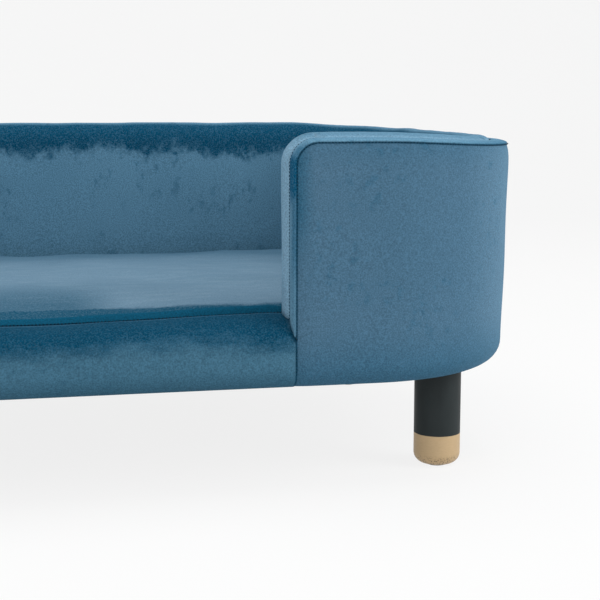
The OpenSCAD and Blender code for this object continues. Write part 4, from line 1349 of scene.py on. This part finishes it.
# %% Camera
scene = bpy.context.scene
camera = bpy.data.objects.new("camera", bpy.data.cameras.new("camera"))
scene.collection.objects.link(camera)
camera.location = (0.0, -1.393, 0.362)
camera.rotation_euler = np.radians([81.1, 0.0, -11.7])
camera.data.lens = 78
camera.data.sensor_width = 36
scene.camera = camera
scene.view_settings.view_transform = "Standard"
print("camera at", tuple(round(c, 3) for c in camera.location), "lens", camera.data.lens, "mm")

# %% [markdown]
# ## Floor
# A studio floor is a card that bends up behind the object, so that no edge shows. A plane
# and a wall would meet in a line. Here the floor runs into a quarter circle and then goes
# straight up, all in metres, as it is far larger than the bed.

# %% Floor and backdrop
bend_start, bend_radius, reach, wall_top = 2.4, 2.0, 9.0, 9.0
glow_share = 0.84
bend = np.linspace(0, np.pi / 2, 25)
far_y = np.concatenate([[-reach, bend_start], bend_start + bend_radius * np.sin(bend),
                        [bend_start + bend_radius]])
far_z = np.concatenate([[0.0, 0.0], bend_radius * (1 - np.cos(bend)), [wall_top]])
across = np.linspace(-reach, reach, 7)
stage_points = np.stack(np.broadcast_arrays(across[:, None], far_y, far_z), axis=-1)


def pale_floor():
    """Pale studio card. To the camera and in reflections it also glows a little, so that it
    looks even while the sofa gets no more light; the shadow stays."""
    net = Net("pale_studio_card")
    tone = net.add("Mix", mottle(net, 0.4, 2), A_Color=linear("#e4e4e2"), B_Color=linear("#dededc"),
                   **COLOURS)
    card = net.add("BsdfPrincipled", Base_Color=tone, Roughness=0.9)
    glow = net.add("Emission", linear("#ffffff"))
    seen = net.add("Math", net.add("LightPath", out="Is Camera Ray"),
                   net.add("LightPath", out="Is Glossy Ray"), **LARGER)
    seen = net.add("Math", seen, net.add("LightPath", out="Is Transmission Ray"), **LARGER)
    share = net.add("Math", seen, glow_share, **TIMES)
    net.add("OutputMaterial", net.add("MixShader", share, card, glow), out=ALL)
    return net.material


floor = new_object("floor", stage_points / MM, grid_faces(7, len(far_y)).tolist(), pale_floor())
print("floor", 2 * reach, "m wide, bend of radius", bend_radius, "m")

# %% [markdown]
# ## Light
# The shadows in the photograph are soft and the bed is bright from all sides. One strong
# lamp would be harder than that. Three square softboxes do it: a key from the right, a weak
# fill from the left front and a broad one overhead, with a faint sky that lifts the rest.

# %% Light


def area(name, place, aim, width, power, tint=(1, 1, 1)):
    """A square softbox that points at aim."""
    lamp = bpy.data.objects.new(name, bpy.data.lights.new(name, "AREA"))
    lamp.data.size = width
    lamp.data.energy = power
    lamp.data.color = tint
    lamp.location = place
    lamp.rotation_euler = (Vector(aim) - Vector(place)).to_track_quat("-Z", "Y").to_euler()
    scene.collection.objects.link(lamp)


area("key_softbox", (2.2, -1.2, 1.3), (0.2, -0.1, 0.2), 1.4, 34)
area("fill_softbox", (-1.3, -2.3, 1.2), (0.0, 0.0, 0.2), 1.6, 14)
area("overhead_softbox", (0.0, 0.0, 2.4), (0.0, 0.0, 0.2), 2.2, 30)
world = bpy.data.worlds.new("studio")
scene.world = world
world.use_nodes = True
sky = world.node_tree.nodes["Background"]
sky.inputs[0].default_value = (0.95, 0.97, 1.0, 1.0)
sky.inputs[1].default_value = 0.55
print("lights set:", len(bpy.data.lights), "softboxes and a sky of", sky.inputs[1].default_value)
